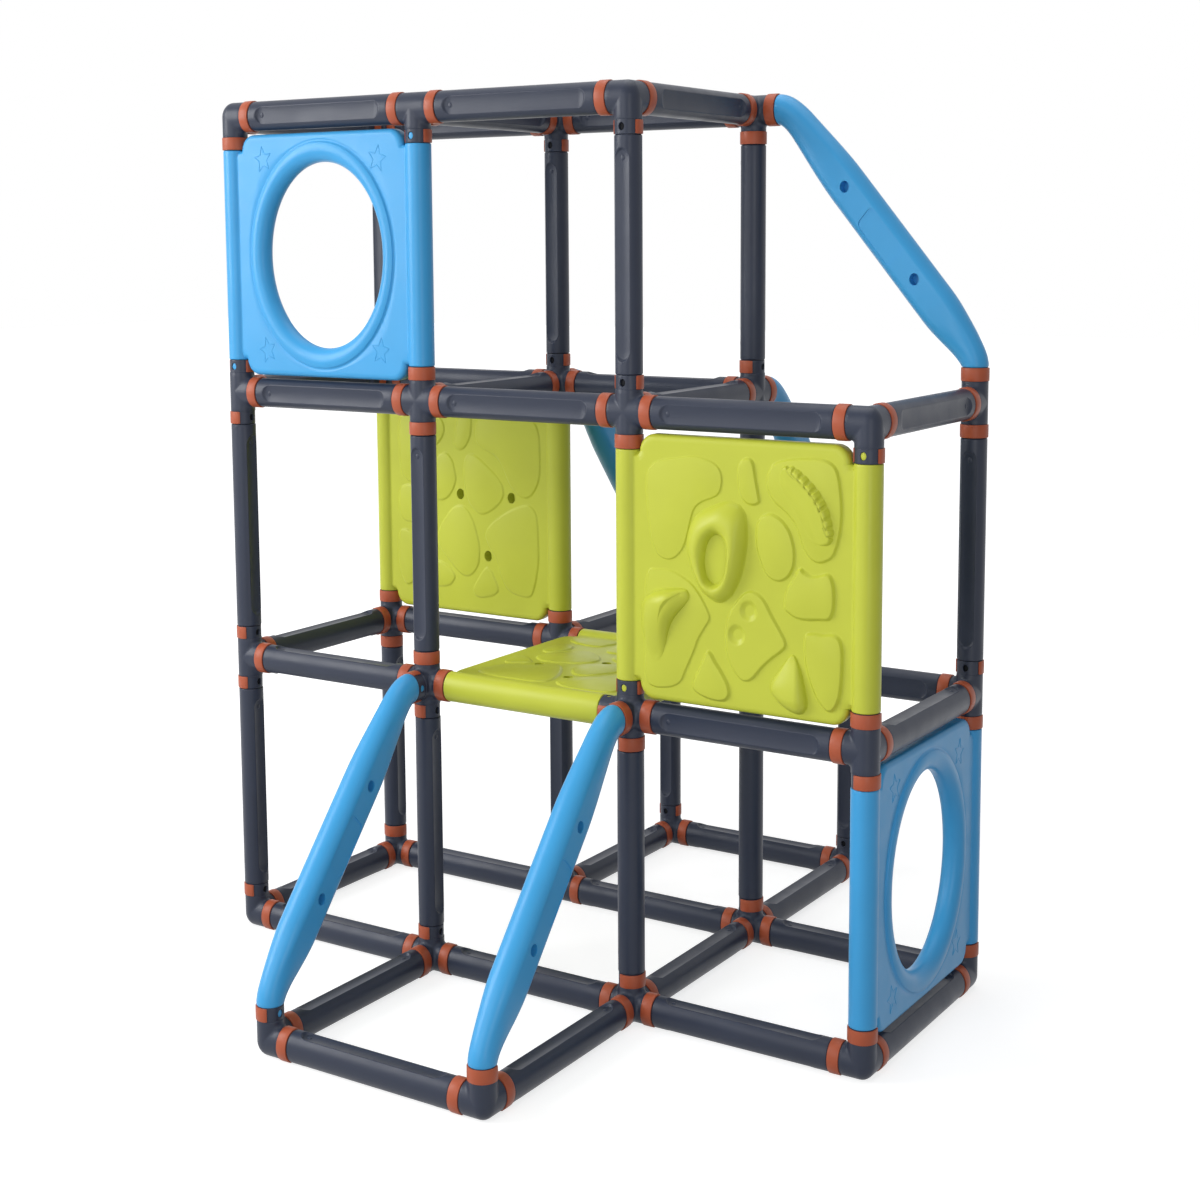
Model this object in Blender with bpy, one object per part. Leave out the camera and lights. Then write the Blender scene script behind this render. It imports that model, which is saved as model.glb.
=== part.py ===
# Modular climbing frame: dark moulded tubes in moulded connectors, two crawl-through panels,
# three climbing panels and five curved diagonal braces. Metres, +Z up, standing on the ground
# with the origin below its middle.
import itertools
import math

import bpy
import bmesh
from mathutils import Matrix, Vector

for old in list(bpy.data.objects):
    bpy.data.objects.remove(old)

# Grid of the frame
BAY = 0.400                 # centre to centre of two connectors, across and front to back
STOREY = 0.474              # centre to centre of two connectors, one above the other
BAYS = 3                    # across, and front to back
TUBE_R = 0.0245             # tubes and connector arms
SIDES = 12                  # faces round a tube; a flat one looks along each axis
REACH = 0.0485              # connector centre to the end of a level arm
REACH_UP = 0.0565           # connector centre to the end of an upright arm
CORE_SHARE = 0.585          # middle of a connector's rounded corner, along each axis, in TUBE_R
GAP = 0.0003                # clearance where a piece seats on or in another
WELD = 0.00001              # points of one surface that are closer than this are one
FLAT_ANGLE = 0.002          # radians between faces that count as one flat

# Square socket in a connector arm; the plug on a tube's end fills it with the clearance
PLUG_SIDES = 4
SOCKET_R = 0.0175
SOCKET_DEPTH = 0.0150

# Long shallow flute moulded in the outer side of a tube
FLUTE_WIDTH = 0.0190
FLUTE_DEPTH = 0.0024
FLUTE_INSET = 0.0215        # end of a connector arm to the end of the flute
FLUTE_SLOPE = 0.8           # run of the sloping ends for each unit of depth

# Panels: a moulded sheet between two edge tubes
SLAB_T = 0.028
SLAB_CLEAR = 0.007          # free edge of the sheet to the tube beside it
SLAB_RISE = 0.005           # end of a connector arm to where the sheet leaves the edge tube
SLAB_SEAT = 0.012           # edge tube's centre line to the sheet's buried edge
CORNER_INSET = 0.0015       # edge tube's surface to the start of the sheet's corner
CORNER_RUN = 0.030          # width of that rounded corner
HOLE_A, HOLE_B = 0.129, 0.155      # half width and half height of the crawl hole, at its narrowest
HOLE_STEPS = 18
RIM_PROUD = 0.004           # rise of the hole's rolled rim over the sheet
RIM_SIDES = 6

# Braces, in the plane of the upper connector's level arm and the lower one's upright arm
BRACE_LEAD = 0.0145         # end of the upper arm to where the slanting line starts
BRACE_TAIL = 0.0305         # end of the lower arm to where the slanting line ends
BRACE_TURN = 0.016          # upright stretch at the lower end
BRACE_HALF_WIDTH = 0.0350   # widened middle
BRACE_HALF_DEPTH = 0.0235
# Sections down the slanting line: share of the line, of its slope and of the widening
BRACE_SECTIONS = [(0.0, 0.35, 0.07), (0.07, 0.95, 0.37), (0.24, 1.0, 1.0), (0.77, 1.0, 1.0),
                  (0.94, 1.04, 0.42)]
BRACE_HOLE_R = 0.0075
BRACE_HOLES = (0.325, 0.710)       # shares of the slanting line
BRACE_RECESS = 0.515
RECESS_HALF_LENGTH = 0.040
RECESS_HALF_WIDTH = 0.0175
RECESS_DEPTH = 0.0012

GREY = (0.060, 0.066, 0.085)
BLUE = (0.100, 0.390, 0.810)
GREEN = (0.570, 0.660, 0.060)

# Connectors are named by column (across), row (front to back) and level. A rail is a level
# run of connectors and the tubes between them: level, row, first and last column.
RAILS = [
    (0, 0, 1, 2), (0, 1, 0, 3), (0, 2, 0, 3), (0, 3, 1, 2),
    (1, 1, 0, 1), (1, 1, 2, 3), (1, 2, 0, 1), (1, 2, 2, 3), (1, 3, 1, 2),
    (2, 1, 0, 3), (2, 2, 0, 2), (2, 2, 3, 3),
    (3, 1, 0, 2), (3, 2, 0, 2),
]
# Tubes running front to back: level, column, front row
CROSS = [
    (0, 1, 0), (0, 2, 0), (0, 0, 1), (0, 2, 1), (0, 3, 1), (0, 1, 2), (0, 2, 2),
    (1, 0, 1), (1, 3, 1), (1, 1, 2), (1, 2, 2),
    (2, 0, 1), (2, 1, 1), (2, 2, 1), (2, 3, 1),
    (3, 0, 1), (3, 1, 1), (3, 2, 1),
]
# Upright tubes: level of the foot, column, row
POSTS = [
    (0, 0, 1), (0, 1, 1), (0, 2, 1), (0, 0, 2), (0, 1, 2), (0, 2, 2), (0, 1, 3), (0, 2, 3),
    (1, 0, 1), (1, 1, 1), (1, 2, 2), (1, 3, 2),
    (2, 2, 1), (2, 0, 2), (2, 1, 2), (2, 2, 2),
]
# Panels: name, kind, connector at the lower left seen from the front, direction to the
# right, direction up, each as an axis vector
PANELS = [
    ("crawl_panel_upper", "crawl", (0, 1, 2), (1, 0, 0), (0, 0, 1)),
    ("crawl_panel_lower", "crawl", (3, 1, 0), (0, 1, 0), (0, 0, 1)),
    ("climb_panel_front", "climb", (2, 1, 1), (1, 0, 0), (0, 0, 1)),
    ("climb_panel_rear", "climb", (1, 2, 1), (-1, 0, 0), (0, 0, 1)),
    ("climb_panel_floor", "climb", (1, 1, 1), (0, 1, 0), (1, 0, 0)),
]
# Braces: name, upper connector, level direction to the lower connector one storey down
BRACES = [
    ("brace_front_left", (1, 1, 1), (0, -1, 0)),
    ("brace_front_right", (2, 1, 1), (0, -1, 0)),
    ("brace_rear_left", (1, 2, 2), (0, 1, 0)),
    ("brace_rear_right", (2, 2, 2), (0, 1, 0)),
    ("brace_top_right", (2, 2, 3), (1, 0, 0)),
]

LETTERS = "abcd"
FLAT = TUBE_R * math.cos(math.pi / SIDES)          # centre line to the flat of a tube


def place(hub):
    return Vector((hub[0] * BAY, hub[1] * BAY, hub[2] * STOREY))


def reach(axis):
    return REACH_UP if axis == 2 else REACH


def add(hub, step):
    return tuple(a + b for a, b in zip(hub, step))


def turned(step):
    return tuple(-s for s in step)


# The arms of every connector, worked out from what it joins
arms = {}


def join(hub, step, kind):
    arms.setdefault(hub, {})[step] = kind


for level, row, first, last in RAILS:
    for col in range(first, last + 1):
        arms.setdefault((col, row, level), {})
        if col < last:
            join((col, row, level), (1, 0, 0), "run")
            join((col + 1, row, level), (-1, 0, 0), "run")
for level, col, row in CROSS:
    join((col, row, level), (0, 1, 0), "socket")
    join((col, row + 1, level), (0, -1, 0), "socket")
for level, col, row in POSTS:
    join((col, row, level), (0, 0, 1), "socket")
    join((col, row, level + 1), (0, 0, -1), "socket")
for name, kind, hub, right, up in PANELS:
    for foot in (hub, add(hub, right)):
        join(foot, up, "socket")
        join(add(foot, up), turned(up), "socket")
for name, hub, step in BRACES:
    join(hub, step, "socket")
    join(add(add(hub, step), (0, 0, -1)), (0, 0, 1), "socket")


def material(name, colour, roughness):
    mat = bpy.data.materials.new("mat_" + name)
    mat.use_nodes = True
    shader = mat.node_tree.nodes["Principled BSDF"]
    shader.inputs["Base Color"].default_value = (*colour, 1.0)
    shader.inputs["Roughness"].default_value = roughness
    shader.inputs["Metallic"].default_value = 0.0
    return mat


def make_object(name, bm, colour, roughness=0.42):
    bmesh.ops.recalc_face_normals(bm, faces=bm.faces)
    if bm.calc_volume(signed=True) < 0:
        bmesh.ops.reverse_faces(bm, faces=bm.faces)
    mesh = bpy.data.meshes.new(name)
    bm.to_mesh(mesh)
    bm.free()
    obj = bpy.data.objects.new(name, mesh)
    bpy.context.scene.collection.objects.link(obj)
    if colour is not None:
        mesh.materials.append(material(name, colour, roughness))
    return obj


def boolean(obj, bm, operation):
    # One exact Boolean with a helper solid, which is applied and removed
    helper = make_object("helper", bm, None)
    mod = obj.modifiers.new("cut", "BOOLEAN")
    mod.operation, mod.solver, mod.object = operation, "EXACT", helper
    bpy.context.view_layer.update()
    graph = bpy.context.evaluated_depsgraph_get()
    mesh = bpy.data.meshes.new_from_object(obj.evaluated_get(graph))
    old = obj.data
    obj.modifiers.clear()
    obj.data = mesh
    mesh.name = obj.name
    bpy.data.meshes.remove(old)
    spare = helper.data
    bpy.data.objects.remove(helper)
    bpy.data.meshes.remove(spare)


def tidy(obj):
    # Flat faces that a Boolean left in pieces become one again
    bm = bmesh.new()
    bm.from_mesh(obj.data)
    bmesh.ops.remove_doubles(bm, verts=bm.verts, dist=WELD)
    bmesh.ops.dissolve_limit(bm, angle_limit=FLAT_ANGLE, verts=bm.verts, edges=bm.edges)
    bm.to_mesh(obj.data)
    bm.free()


def ring(centre, along, radius, sides, squash=1.0, side=None):
    # Points of a polygon round a line; squash narrows it across the side direction
    along = Vector(along).normalized()
    if side is None:
        side = Vector((0, 0, 1)) if abs(along.z) < 0.5 else Vector((0, 1, 0))
    side = (side - along * side.dot(along)).normalized()
    other = along.cross(side)
    points = []
    for k in range(sides):
        a = 2 * math.pi * (k + 0.5) / sides
        points.append(centre + side * radius * math.cos(a) + other * radius * squash * math.sin(a))
    return points


def loft(bm, loops, cap=True):
    # Skin over loops with the same number of points, closed by its end faces
    rows = [[bm.verts.new(p) for p in loop] for loop in loops]
    n = len(rows[0])
    for a, b in zip(rows, rows[1:]):
        for k in range(n):
            bm.faces.new((a[k], a[(k + 1) % n], b[(k + 1) % n], b[k]))
    if cap:
        bm.faces.new(rows[0][::-1])
        bm.faces.new(rows[-1])
    return rows


def end_loop(bm, centre, along):
    along = Vector(along)
    found = []
    for edge in bm.edges:
        if edge.is_boundary and all(
            abs((v.co - centre).dot(along)) < 1e-5 and (v.co - centre).length < TUBE_R * 1.05
            for v in edge.verts
        ):
            found.append(edge)
    return found


def finish_end(bm, centre, along, kind):
    # Closes an open tube end, with a plug that stands out of it or a socket that goes in
    along = Vector(along)
    radius = SOCKET_R if kind == "socket" else SOCKET_R - GAP / math.cos(math.pi / PLUG_SIDES)
    depth = -SOCKET_DEPTH if kind == "socket" else SOCKET_DEPTH
    inner_points = ring(centre, along, radius, PLUG_SIDES)
    side = (centre - ring(centre, along, radius, 1)[0]).normalized()
    other = along.cross(side)

    def angle(v):
        d = v.co - centre
        return math.atan2(d.dot(other), d.dot(side)) % (2 * math.pi)

    outer = sorted({v for e in end_loop(bm, centre, along) for v in e.verts}, key=angle)
    inner = [bm.verts.new(p) for p in inner_points]
    tip = [bm.verts.new(v.co + along * depth) for v in inner]
    share = SIDES // PLUG_SIDES
    for k in range(PLUG_SIDES):
        m = (k + 1) % PLUG_SIDES
        fan = outer[k * share:(k + 1) * share]
        bm.faces.new([inner[k]] + fan)
        bm.faces.new((inner[k], fan[-1], outer[m * share], inner[m]))
        bm.faces.new((inner[k], inner[m], tip[m], tip[k]))
    bm.faces.new(tip)


def profile():
    # Quarter of the tube outline between two axes, as distances along both
    points = [(FLAT, 0.0)]
    for k in range(SIDES // 4):
        a = 2 * math.pi * (k + 0.5) / SIDES
        points.append((TUBE_R * math.cos(a), TUBE_R * math.sin(a)))
    points.append((0.0, FLAT))
    return points


def connector(bm, hub, centre):
    # Arms of equal outline meet on mitre lines; a corner without an arm is rounded.
    # Each of the eight corners of the connector is built from its own arms.
    own = arms[hub]
    quarter = profile()
    near, mid, core = quarter[1][1], quarter[2][0], TUBE_R * CORE_SHARE
    for signs in itertools.product((1, -1), repeat=3):

        def face(first, *corners):
            # Corners as distances along the three axes, with the first axis leading
            verts = []
            for corner in corners:
                offset = Vector()
                for n, value in enumerate(corner):
                    axis = (first + n) % 3
                    offset[axis] = signs[axis] * value
                verts.append(bm.verts.new(centre + offset))
            bm.faces.new(verts)

        there = []
        for axis in range(3):
            step = [0, 0, 0]
            step[axis] = signs[axis]
            there.append(own.get(tuple(step)))
        for i in range(3):
            if there[i] is None:
                continue
            second, third = there[(i + 1) % 3], there[(i + 2) % 3]
            end = BAY / 2 if there[i] == "run" else reach(i)
            for p, q in zip(quarter, quarter[1:]):
                start = [max(r[0] if second else 0.0, r[1] if third else 0.0) for r in (p, q)]
                face(i, (start[0], *p), (end, *p), (end, *q), (start[1], *q))
        if not any(there):
            for i in range(3):
                face(i, (FLAT, 0, 0), (FLAT, near, 0), (FLAT, near, near), (FLAT, 0, near))
                face(i, (FLAT, near, 0), (mid, mid, 0), (core, core, core), (FLAT, near, near))
                face(i, (FLAT, 0, near), (mid, 0, mid), (core, core, core), (FLAT, near, near))


def flute_box(bm, a, b, axis, side):
    # Cutter for one flute: a shallow box with sloping ends, on the side of a tube
    along = [0, 0, 0]
    along[axis] = 1
    along, side = Vector(along), Vector(side)
    across = along.cross(side)
    loops = []
    for rise in (0.0, 2 * FLUTE_DEPTH):
        grow = along * rise * FLUTE_SLOPE
        centre = side * (FLAT - FLUTE_DEPTH + rise)
        loop = []
        for base, w in ((a - grow, -1), (a - grow, 1), (b + grow, 1), (b + grow, -1)):
            loop.append(base + centre + across * w * FLUTE_WIDTH / 2)
        loops.append(loop)
    loft(bm, loops)


def flute_side(level, axis, hub):
    # Flutes look outwards on the upper levels and upwards on the lower ones
    if level >= 2 or hub == (2, 1, 1):
        return (0, -1, 0) if axis == 0 else (1, 0, 0)
    return (0, 0, 1)


def make_rail(level, row, first, last):
    name = f"rail_l{level}_row{row}_{LETTERS[first]}{LETTERS[last]}"
    bm = bmesh.new()
    hubs = [(col, row, level) for col in range(first, last + 1)]
    spots = [place(hub) - place(hubs[0]) for hub in hubs]
    for hub, spot in zip(hubs, spots):
        connector(bm, hub, spot)
    bmesh.ops.remove_doubles(bm, verts=bm.verts, dist=WELD)
    bmesh.ops.recalc_face_normals(bm, faces=bm.faces)
    bmesh.ops.dissolve_limit(
        bm, angle_limit=FLAT_ANGLE, use_dissolve_boundaries=True, verts=bm.verts, edges=bm.edges
    )
    for hub, spot in zip(hubs, spots):
        for step, kind in arms[hub].items():
            if kind == "socket":
                axis = max(range(3), key=lambda i: abs(step[i]))
                finish_end(bm, spot + Vector(step) * reach(axis), step, "socket")
    obj = make_object(name, bm, GREY)
    cutter = bmesh.new()
    inset = Vector((REACH + FLUTE_INSET, 0, 0))
    for hub, a, b in zip(hubs, spots, spots[1:]):
        flute_box(cutter, a + inset, b - inset, 0, flute_side(level, 0, hub))
    if len(hubs) > 1:
        boolean(obj, cutter, "DIFFERENCE")
        tidy(obj)
    else:
        cutter.free()
    return obj


def tube_between(bm, start, stop):
    # A straight tube with a plug at each end, clear of the arms that it seats on
    along = (stop - start).normalized()
    ends = start + along * GAP, stop - along * GAP
    loft(bm, [ring(p, along, TUBE_R, SIDES) for p in ends], cap=False)
    finish_end(bm, ends[0], -along, "plug")
    finish_end(bm, ends[1], along, "plug")


def make_tube(name, axis, side):
    length = STOREY if axis == 2 else BAY
    along = Vector()
    along[axis] = 1
    bm = bmesh.new()
    tube_between(bm, along * reach(axis), along * (length - reach(axis)))
    obj = make_object(name, bm, GREY)
    cutter = bmesh.new()
    inset = reach(axis) + FLUTE_INSET
    flute_box(cutter, along * inset, along * (length - inset), axis, side)
    boolean(obj, cutter, "DIFFERENCE")
    tidy(obj)
    return obj


def slab_outline(length, end_reach):
    # Outline of the sheet between the edge tubes: right and up, with rounded corners
    start = end_reach + SLAB_RISE
    rise = start - TUBE_R - SLAB_CLEAR
    inner = TUBE_R + CORNER_INSET
    corner = [(SLAB_SEAT, start)]
    for degrees in (180, 225, 270):
        a = math.radians(degrees)
        corner.append(
            (inner + CORNER_RUN * (1 + math.cos(a)), start + rise * math.sin(a))
        )
    points = list(corner)
    points += [(BAY - u, v) for u, v in reversed(corner)]
    points += [(BAY - u, length - v) for u, v in corner]
    points += [(u, length - v) for u, v in reversed(corner)]
    return points


def flat_loop(points, y):
    return [Vector((u, y, v)) for u, v in points]


def panel_body(name, length, end_reach, colour):
    # Two edge tubes with their plugs, and the sheet between them
    bm = bmesh.new()
    for u in (0.0, BAY):
        tube_between(bm, Vector((u, 0, end_reach)), Vector((u, 0, length - end_reach)))
    obj = make_object(name, bm, colour, 0.36)
    slab = bmesh.new()
    outline = slab_outline(length, end_reach)
    loft(slab, [flat_loop(outline, -SLAB_T / 2), flat_loop(outline, SLAB_T / 2)])
    boolean(obj, slab, "UNION")
    return obj


def ellipse(cu, cv, a, b, count):
    return [
        (cu + a * math.cos(2 * math.pi * k / count), cv + b * math.sin(2 * math.pi * k / count))
        for k in range(count)
    ]


def make_crawl_panel(name, length, end_reach):
    # The hole is cut and its rolled rim, a ring of round section, is lofted into it
    obj = panel_body(name, length, end_reach, BLUE)
    cu, cv = BAY / 2, length / 2
    radius = SLAB_T / 2 + RIM_PROUD
    cutter = bmesh.new()
    hole = ellipse(cu, cv, HOLE_A + radius, HOLE_B + radius, HOLE_STEPS)
    loft(cutter, [flat_loop(hole, -SLAB_T), flat_loop(hole, SLAB_T)])
    boolean(obj, cutter, "DIFFERENCE")
    rim = bmesh.new()
    loops = []
    for k in range(RIM_SIDES):
        a = 2 * math.pi * k / RIM_SIDES
        grow = radius * (1 - math.cos(a))
        around = ellipse(cu, cv, HOLE_A + grow, HOLE_B + grow, HOLE_STEPS)
        loops.append(flat_loop(around, radius * math.sin(a)))
    rows = loft(rim, loops, cap=False)
    for k in range(HOLE_STEPS):
        n = (k + 1) % HOLE_STEPS
        rim.faces.new((rows[-1][k], rows[-1][n], rows[0][n], rows[0][k]))
    boolean(obj, rim, "UNION")
    tidy(obj)
    return obj


# Relief of the climbing panel. Outlines are in millimetres from the lower left connector, on
# a panel of this width and height, and follow the bay and the storey.
RELIEF_WIDTH, RELIEF_HEIGHT = 400, 474
BACK_RELIEF = 0.0018        # the back shows the same outlines, this high
TOP_SHARE = 0.93            # top of a flat form for each unit of its base
# Height in millimetres and outline of each flat-topped form on the front
PLATEAUS = [
    (3.0, [(42, 398), (120, 417), (168, 400), (166, 360), (128, 340), (104, 278), (56, 266)]),
    (5.0, [(212, 417), (229, 413), (239, 354), (206, 361), (201, 396)]),
    (4.0, [(262, 338), (292, 310), (296, 262), (266, 240), (239, 262), (234, 318)]),
    (4.0, [(256, 408), (300, 423), (362, 414), (375, 340), (362, 283), (326, 277), (290, 333),
           (257, 362)]),
    (6.0, [(300, 258), (352, 259), (364, 228), (353, 191), (290, 195), (286, 240)]),
    (3.5, [(46, 234), (110, 226), (154, 174), (124, 112), (90, 62), (44, 60)]),
    (5.0, [(222, 221), (246, 208), (284, 146), (220, 84), (188, 112), (182, 168)]),
    (6.5, [(152, 120), (163, 115), (189, 60), (172, 48), (127, 58)]),
    (6.0, [(326, 169), (370, 164), (378, 90), (356, 58), (321, 112)]),
]
# Raised holds: height, centre towards which the top shrinks, by how much, and outline
HOLDS = [
    (32.0, (168, 272), 0.80, [(190, 348), (212, 331), (215, 280), (196, 220), (168, 200),
                              (134, 216), (117, 270), (122, 312), (146, 336)]),
    (19.0, (322, 360), 0.72, [(280, 412), (306, 408), (350, 364), (362, 312), (336, 297),
                              (304, 336), (273, 362), (271, 396)]),
    (27.0, (76, 178), 0.34, [(112, 220), (116, 200), (84, 152), (66, 96), (48, 110),
                             (44, 150), (48, 196), (80, 217)]),
    (24.0, (303, 62), 0.30, [(298, 130), (311, 108), (318, 58), (276, 58), (262, 80)]),
]
RING_OPENING = [(166, 304), (184, 282), (180, 240), (158, 226), (142, 250), (144, 290)]
RING_DEEP, RING_FLARE = 0.0335, 1.30
# Finger dimples: depth at the middle, half widths at the mouth and at the floor
DIMPLES = [(223, 191), (203, 153)]
DIMPLE_DEPTH, DIMPLE_MOUTH, DIMPLE_FLOOR = 0.0046, 0.0155, 0.0090
DIMPLE_SIDES = 6
DIMPLE_HEIGHT = 5.0         # of the flat form that they are in
SINK = 0.001                # how far a raised form starts below the sheet's face


def scaled(points, length):
    return [(u / RELIEF_WIDTH * BAY, v / RELIEF_HEIGHT * length) for u, v in points]


def middle_of(points):
    return tuple(sum(p[n] for p in points) / len(points) for n in (0, 1))


def shrunk(points, centre, factor):
    return [
        (centre[0] + (u - centre[0]) * factor, centre[1] + (v - centre[1]) * factor)
        for u, v in points
    ]


def make_climb_panel(name, length, end_reach):
    obj = panel_body(name, length, end_reach, GREEN)
    face, back = -SLAB_T / 2, SLAB_T / 2
    relief = bmesh.new()
    for height, outline in PLATEAUS:
        points = scaled(outline, length)
        small = shrunk(points, middle_of(points), TOP_SHARE)
        loft(relief, [flat_loop(small, face - height * 0.001), flat_loop(points, face + SINK),
                      flat_loop(points, back - SINK), flat_loop(small, back + BACK_RELIEF)])
    boolean(obj, relief, "UNION")
    holds = bmesh.new()
    for height, centre, factor, outline in HOLDS:
        points = scaled(outline, length)
        middle = scaled([centre], length)[0]
        loft(holds, [
            flat_loop(shrunk(points, middle, factor), face - height * 0.001),
            flat_loop(shrunk(points, middle, (1 + factor) / 2), face - height * 0.00065),
            flat_loop(points, face + SINK),
        ])
    boolean(obj, holds, "UNION")
    cuts = bmesh.new()
    opening = scaled(RING_OPENING, length)
    wide = shrunk(opening, middle_of(opening), RING_FLARE)
    loft(cuts, [flat_loop(wide, face - RING_DEEP - SINK), flat_loop(opening, face - SINK)])
    top = face - 0.001 * DIMPLE_HEIGHT
    for spot in DIMPLES:
        u, v = scaled([spot], length)[0]
        loft(cuts, [
            flat_loop(ellipse(u, v, DIMPLE_MOUTH, DIMPLE_MOUTH, DIMPLE_SIDES), top - SINK),
            flat_loop(ellipse(u, v, DIMPLE_FLOOR, DIMPLE_FLOOR, DIMPLE_SIDES), top + DIMPLE_DEPTH),
        ])
    boolean(obj, cuts, "DIFFERENCE")
    tidy(obj)
    return obj


def make_brace(name, step):
    # Sweep in the plane of the level direction and the vertical: round ends, wide middle
    out, up = Vector(step), Vector((0, 0, 1))
    side = out.cross(up)
    bend = REACH + BRACE_LEAD
    drop = STOREY - REACH_UP - BRACE_TAIL
    slope = math.atan2(drop, BAY - bend)

    def on_line(t):
        return bend + (BAY - bend) * t, -drop * t

    start, stop = (REACH + GAP, 0.0), (BAY, -STOREY + REACH_UP + GAP)
    # Place, direction and share of the widening of each section
    sections = [(start, 0.0, 0.0)]
    sections += [(on_line(t), slope * turn, swell) for t, turn, swell in BRACE_SECTIONS]
    sections += [((BAY, stop[1] + BRACE_TURN), math.pi / 2, 0.0), (stop, math.pi / 2, 0.0)]
    bm = bmesh.new()
    loops = []
    for (u, v), angle, swell in sections:
        along = out * math.cos(angle) - up * math.sin(angle)
        width = TUBE_R + (BRACE_HALF_WIDTH - TUBE_R) * swell
        depth = TUBE_R + (BRACE_HALF_DEPTH - TUBE_R) * swell
        loops.append(ring(out * u + up * v, along, depth, SIDES, width / depth, side))
    loft(bm, loops, cap=False)
    finish_end(bm, out * start[0], -out, "plug")
    finish_end(bm, out * stop[0] + up * stop[1], -up, "plug")
    obj = make_object(name, bm, BLUE, 0.36)

    line = out * math.cos(slope) - up * math.sin(slope)
    across = side.cross(line)
    cutter = bmesh.new()
    for t in BRACE_HOLES:
        u, v = on_line(t)
        middle = out * u + up * v
        ends = [middle + side * s * 2 * BRACE_HALF_DEPTH for s in (-1, 1)]
        loft(cutter, [ring(end, side, BRACE_HOLE_R, 6) for end in ends])
    u, v = on_line(BRACE_RECESS)
    middle = out * u + up * v
    floor = BRACE_HALF_DEPTH * math.cos(math.pi / SIDES) - RECESS_DEPTH
    for s in (-1, 1):
        loops = []
        for depth in (floor, 2 * BRACE_HALF_DEPTH):
            loops.append([
                middle + side * s * depth + line * a * RECESS_HALF_LENGTH
                + across * b * RECESS_HALF_WIDTH
                for a, b in ((-1, -1), (1, -1), (1, 1), (-1, 1))
            ])
        loft(cutter, loops)
    boolean(obj, cutter, "DIFFERENCE")
    tidy(obj)
    return obj


frame = bpy.data.objects.new("climbing_frame", None)
bpy.context.scene.collection.objects.link(frame)
frame.location = (-BAYS * BAY / 2, -BAYS * BAY / 2, FLAT)


def seat(obj, hub, turn=Matrix.Identity(4)):
    # Puts a piece at its first connector, on the frame's own empty
    obj.parent = frame
    obj.matrix_local = Matrix.Translation(place(hub)) @ turn
    obj.data.shade_smooth()
    obj.data.set_sharp_from_angle(angle=math.radians(34))


for level, row, first, last in RAILS:
    seat(make_rail(level, row, first, last), (first, row, level))
for level, col, row in CROSS:
    hub = (col, row, level)
    name = f"cross_l{level}_{LETTERS[col]}{row}{row + 1}"
    seat(make_tube(name, 1, flute_side(level, 1, hub)), hub)
for level, col, row in POSTS:
    side = (1, 0, 0) if (col, row) == (0, 1) else (0, -1, 0)
    seat(make_tube(f"post_l{level}_{LETTERS[col]}{row}", 2, side), (col, row, level))
for name, kind, hub, right, up in PANELS:
    upright = up[2] == 1
    length, end_reach = (STOREY, REACH_UP) if upright else (BAY, REACH)
    build = make_crawl_panel if kind == "crawl" else make_climb_panel
    inward = Vector(up).cross(Vector(right))
    turn = Matrix((right, inward, up)).transposed().to_4x4()
    seat(build(name, length, end_reach), hub, turn)
for name, hub, step in BRACES:
    seat(make_brace(name, step), hub)
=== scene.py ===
# Looks of the modular climbing frame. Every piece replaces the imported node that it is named
# after, in the same place, and the snap clips ride on the frame.
import itertools
import math

import bmesh
import bpy
import numpy as np
from mathutils import Matrix


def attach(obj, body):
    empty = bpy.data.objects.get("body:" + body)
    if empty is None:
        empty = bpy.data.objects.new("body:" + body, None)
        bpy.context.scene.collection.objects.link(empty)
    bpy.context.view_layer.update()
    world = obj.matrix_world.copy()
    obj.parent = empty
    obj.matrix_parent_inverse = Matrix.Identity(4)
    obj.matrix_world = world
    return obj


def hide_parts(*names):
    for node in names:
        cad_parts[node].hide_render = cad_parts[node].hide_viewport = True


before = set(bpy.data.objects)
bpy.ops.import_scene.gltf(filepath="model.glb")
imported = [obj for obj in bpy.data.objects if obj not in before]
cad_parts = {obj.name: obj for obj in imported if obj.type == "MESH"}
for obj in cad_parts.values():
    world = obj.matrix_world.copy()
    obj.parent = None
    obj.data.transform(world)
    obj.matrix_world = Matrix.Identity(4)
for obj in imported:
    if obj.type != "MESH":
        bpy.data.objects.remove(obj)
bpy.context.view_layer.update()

# The photograph is stretched in height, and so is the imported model. Pieces are shaped on a square
# grid with round tubes, in metres, and stretched as they are made.
BAY = 0.400
STRETCH = 1.185
LIFT = 0.023665             # floor to the centre line of the lowest tubes
TUBE_R = 0.0213
REACH = 0.0485              # connector centre to the end of a level arm
REACH_UP = 0.0565 / STRETCH     # and to the end of an upright arm
BASE = np.array([-0.600, -0.600, 0.0])
MM = 0.001
WELD = 0.000004

LEFT, RIGHT, FRONT, REAR = (-1, 0, 0), (1, 0, 0), (0, -1, 0), (0, 1, 0)
UP, DOWN = (0, 0, 1), (0, 0, -1)
LETTERS = "abcd"            # names of the columns
# Level, row, first and last column
RAILS = [
    (0, 0, 1, 2), (0, 1, 0, 3), (0, 2, 0, 3), (0, 3, 1, 2),
    (1, 1, 0, 1), (1, 1, 2, 3), (1, 2, 0, 1), (1, 2, 2, 3), (1, 3, 1, 2),
    (2, 1, 0, 3), (2, 2, 0, 2), (2, 2, 3, 3),
    (3, 1, 0, 2), (3, 2, 0, 2),
]
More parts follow.
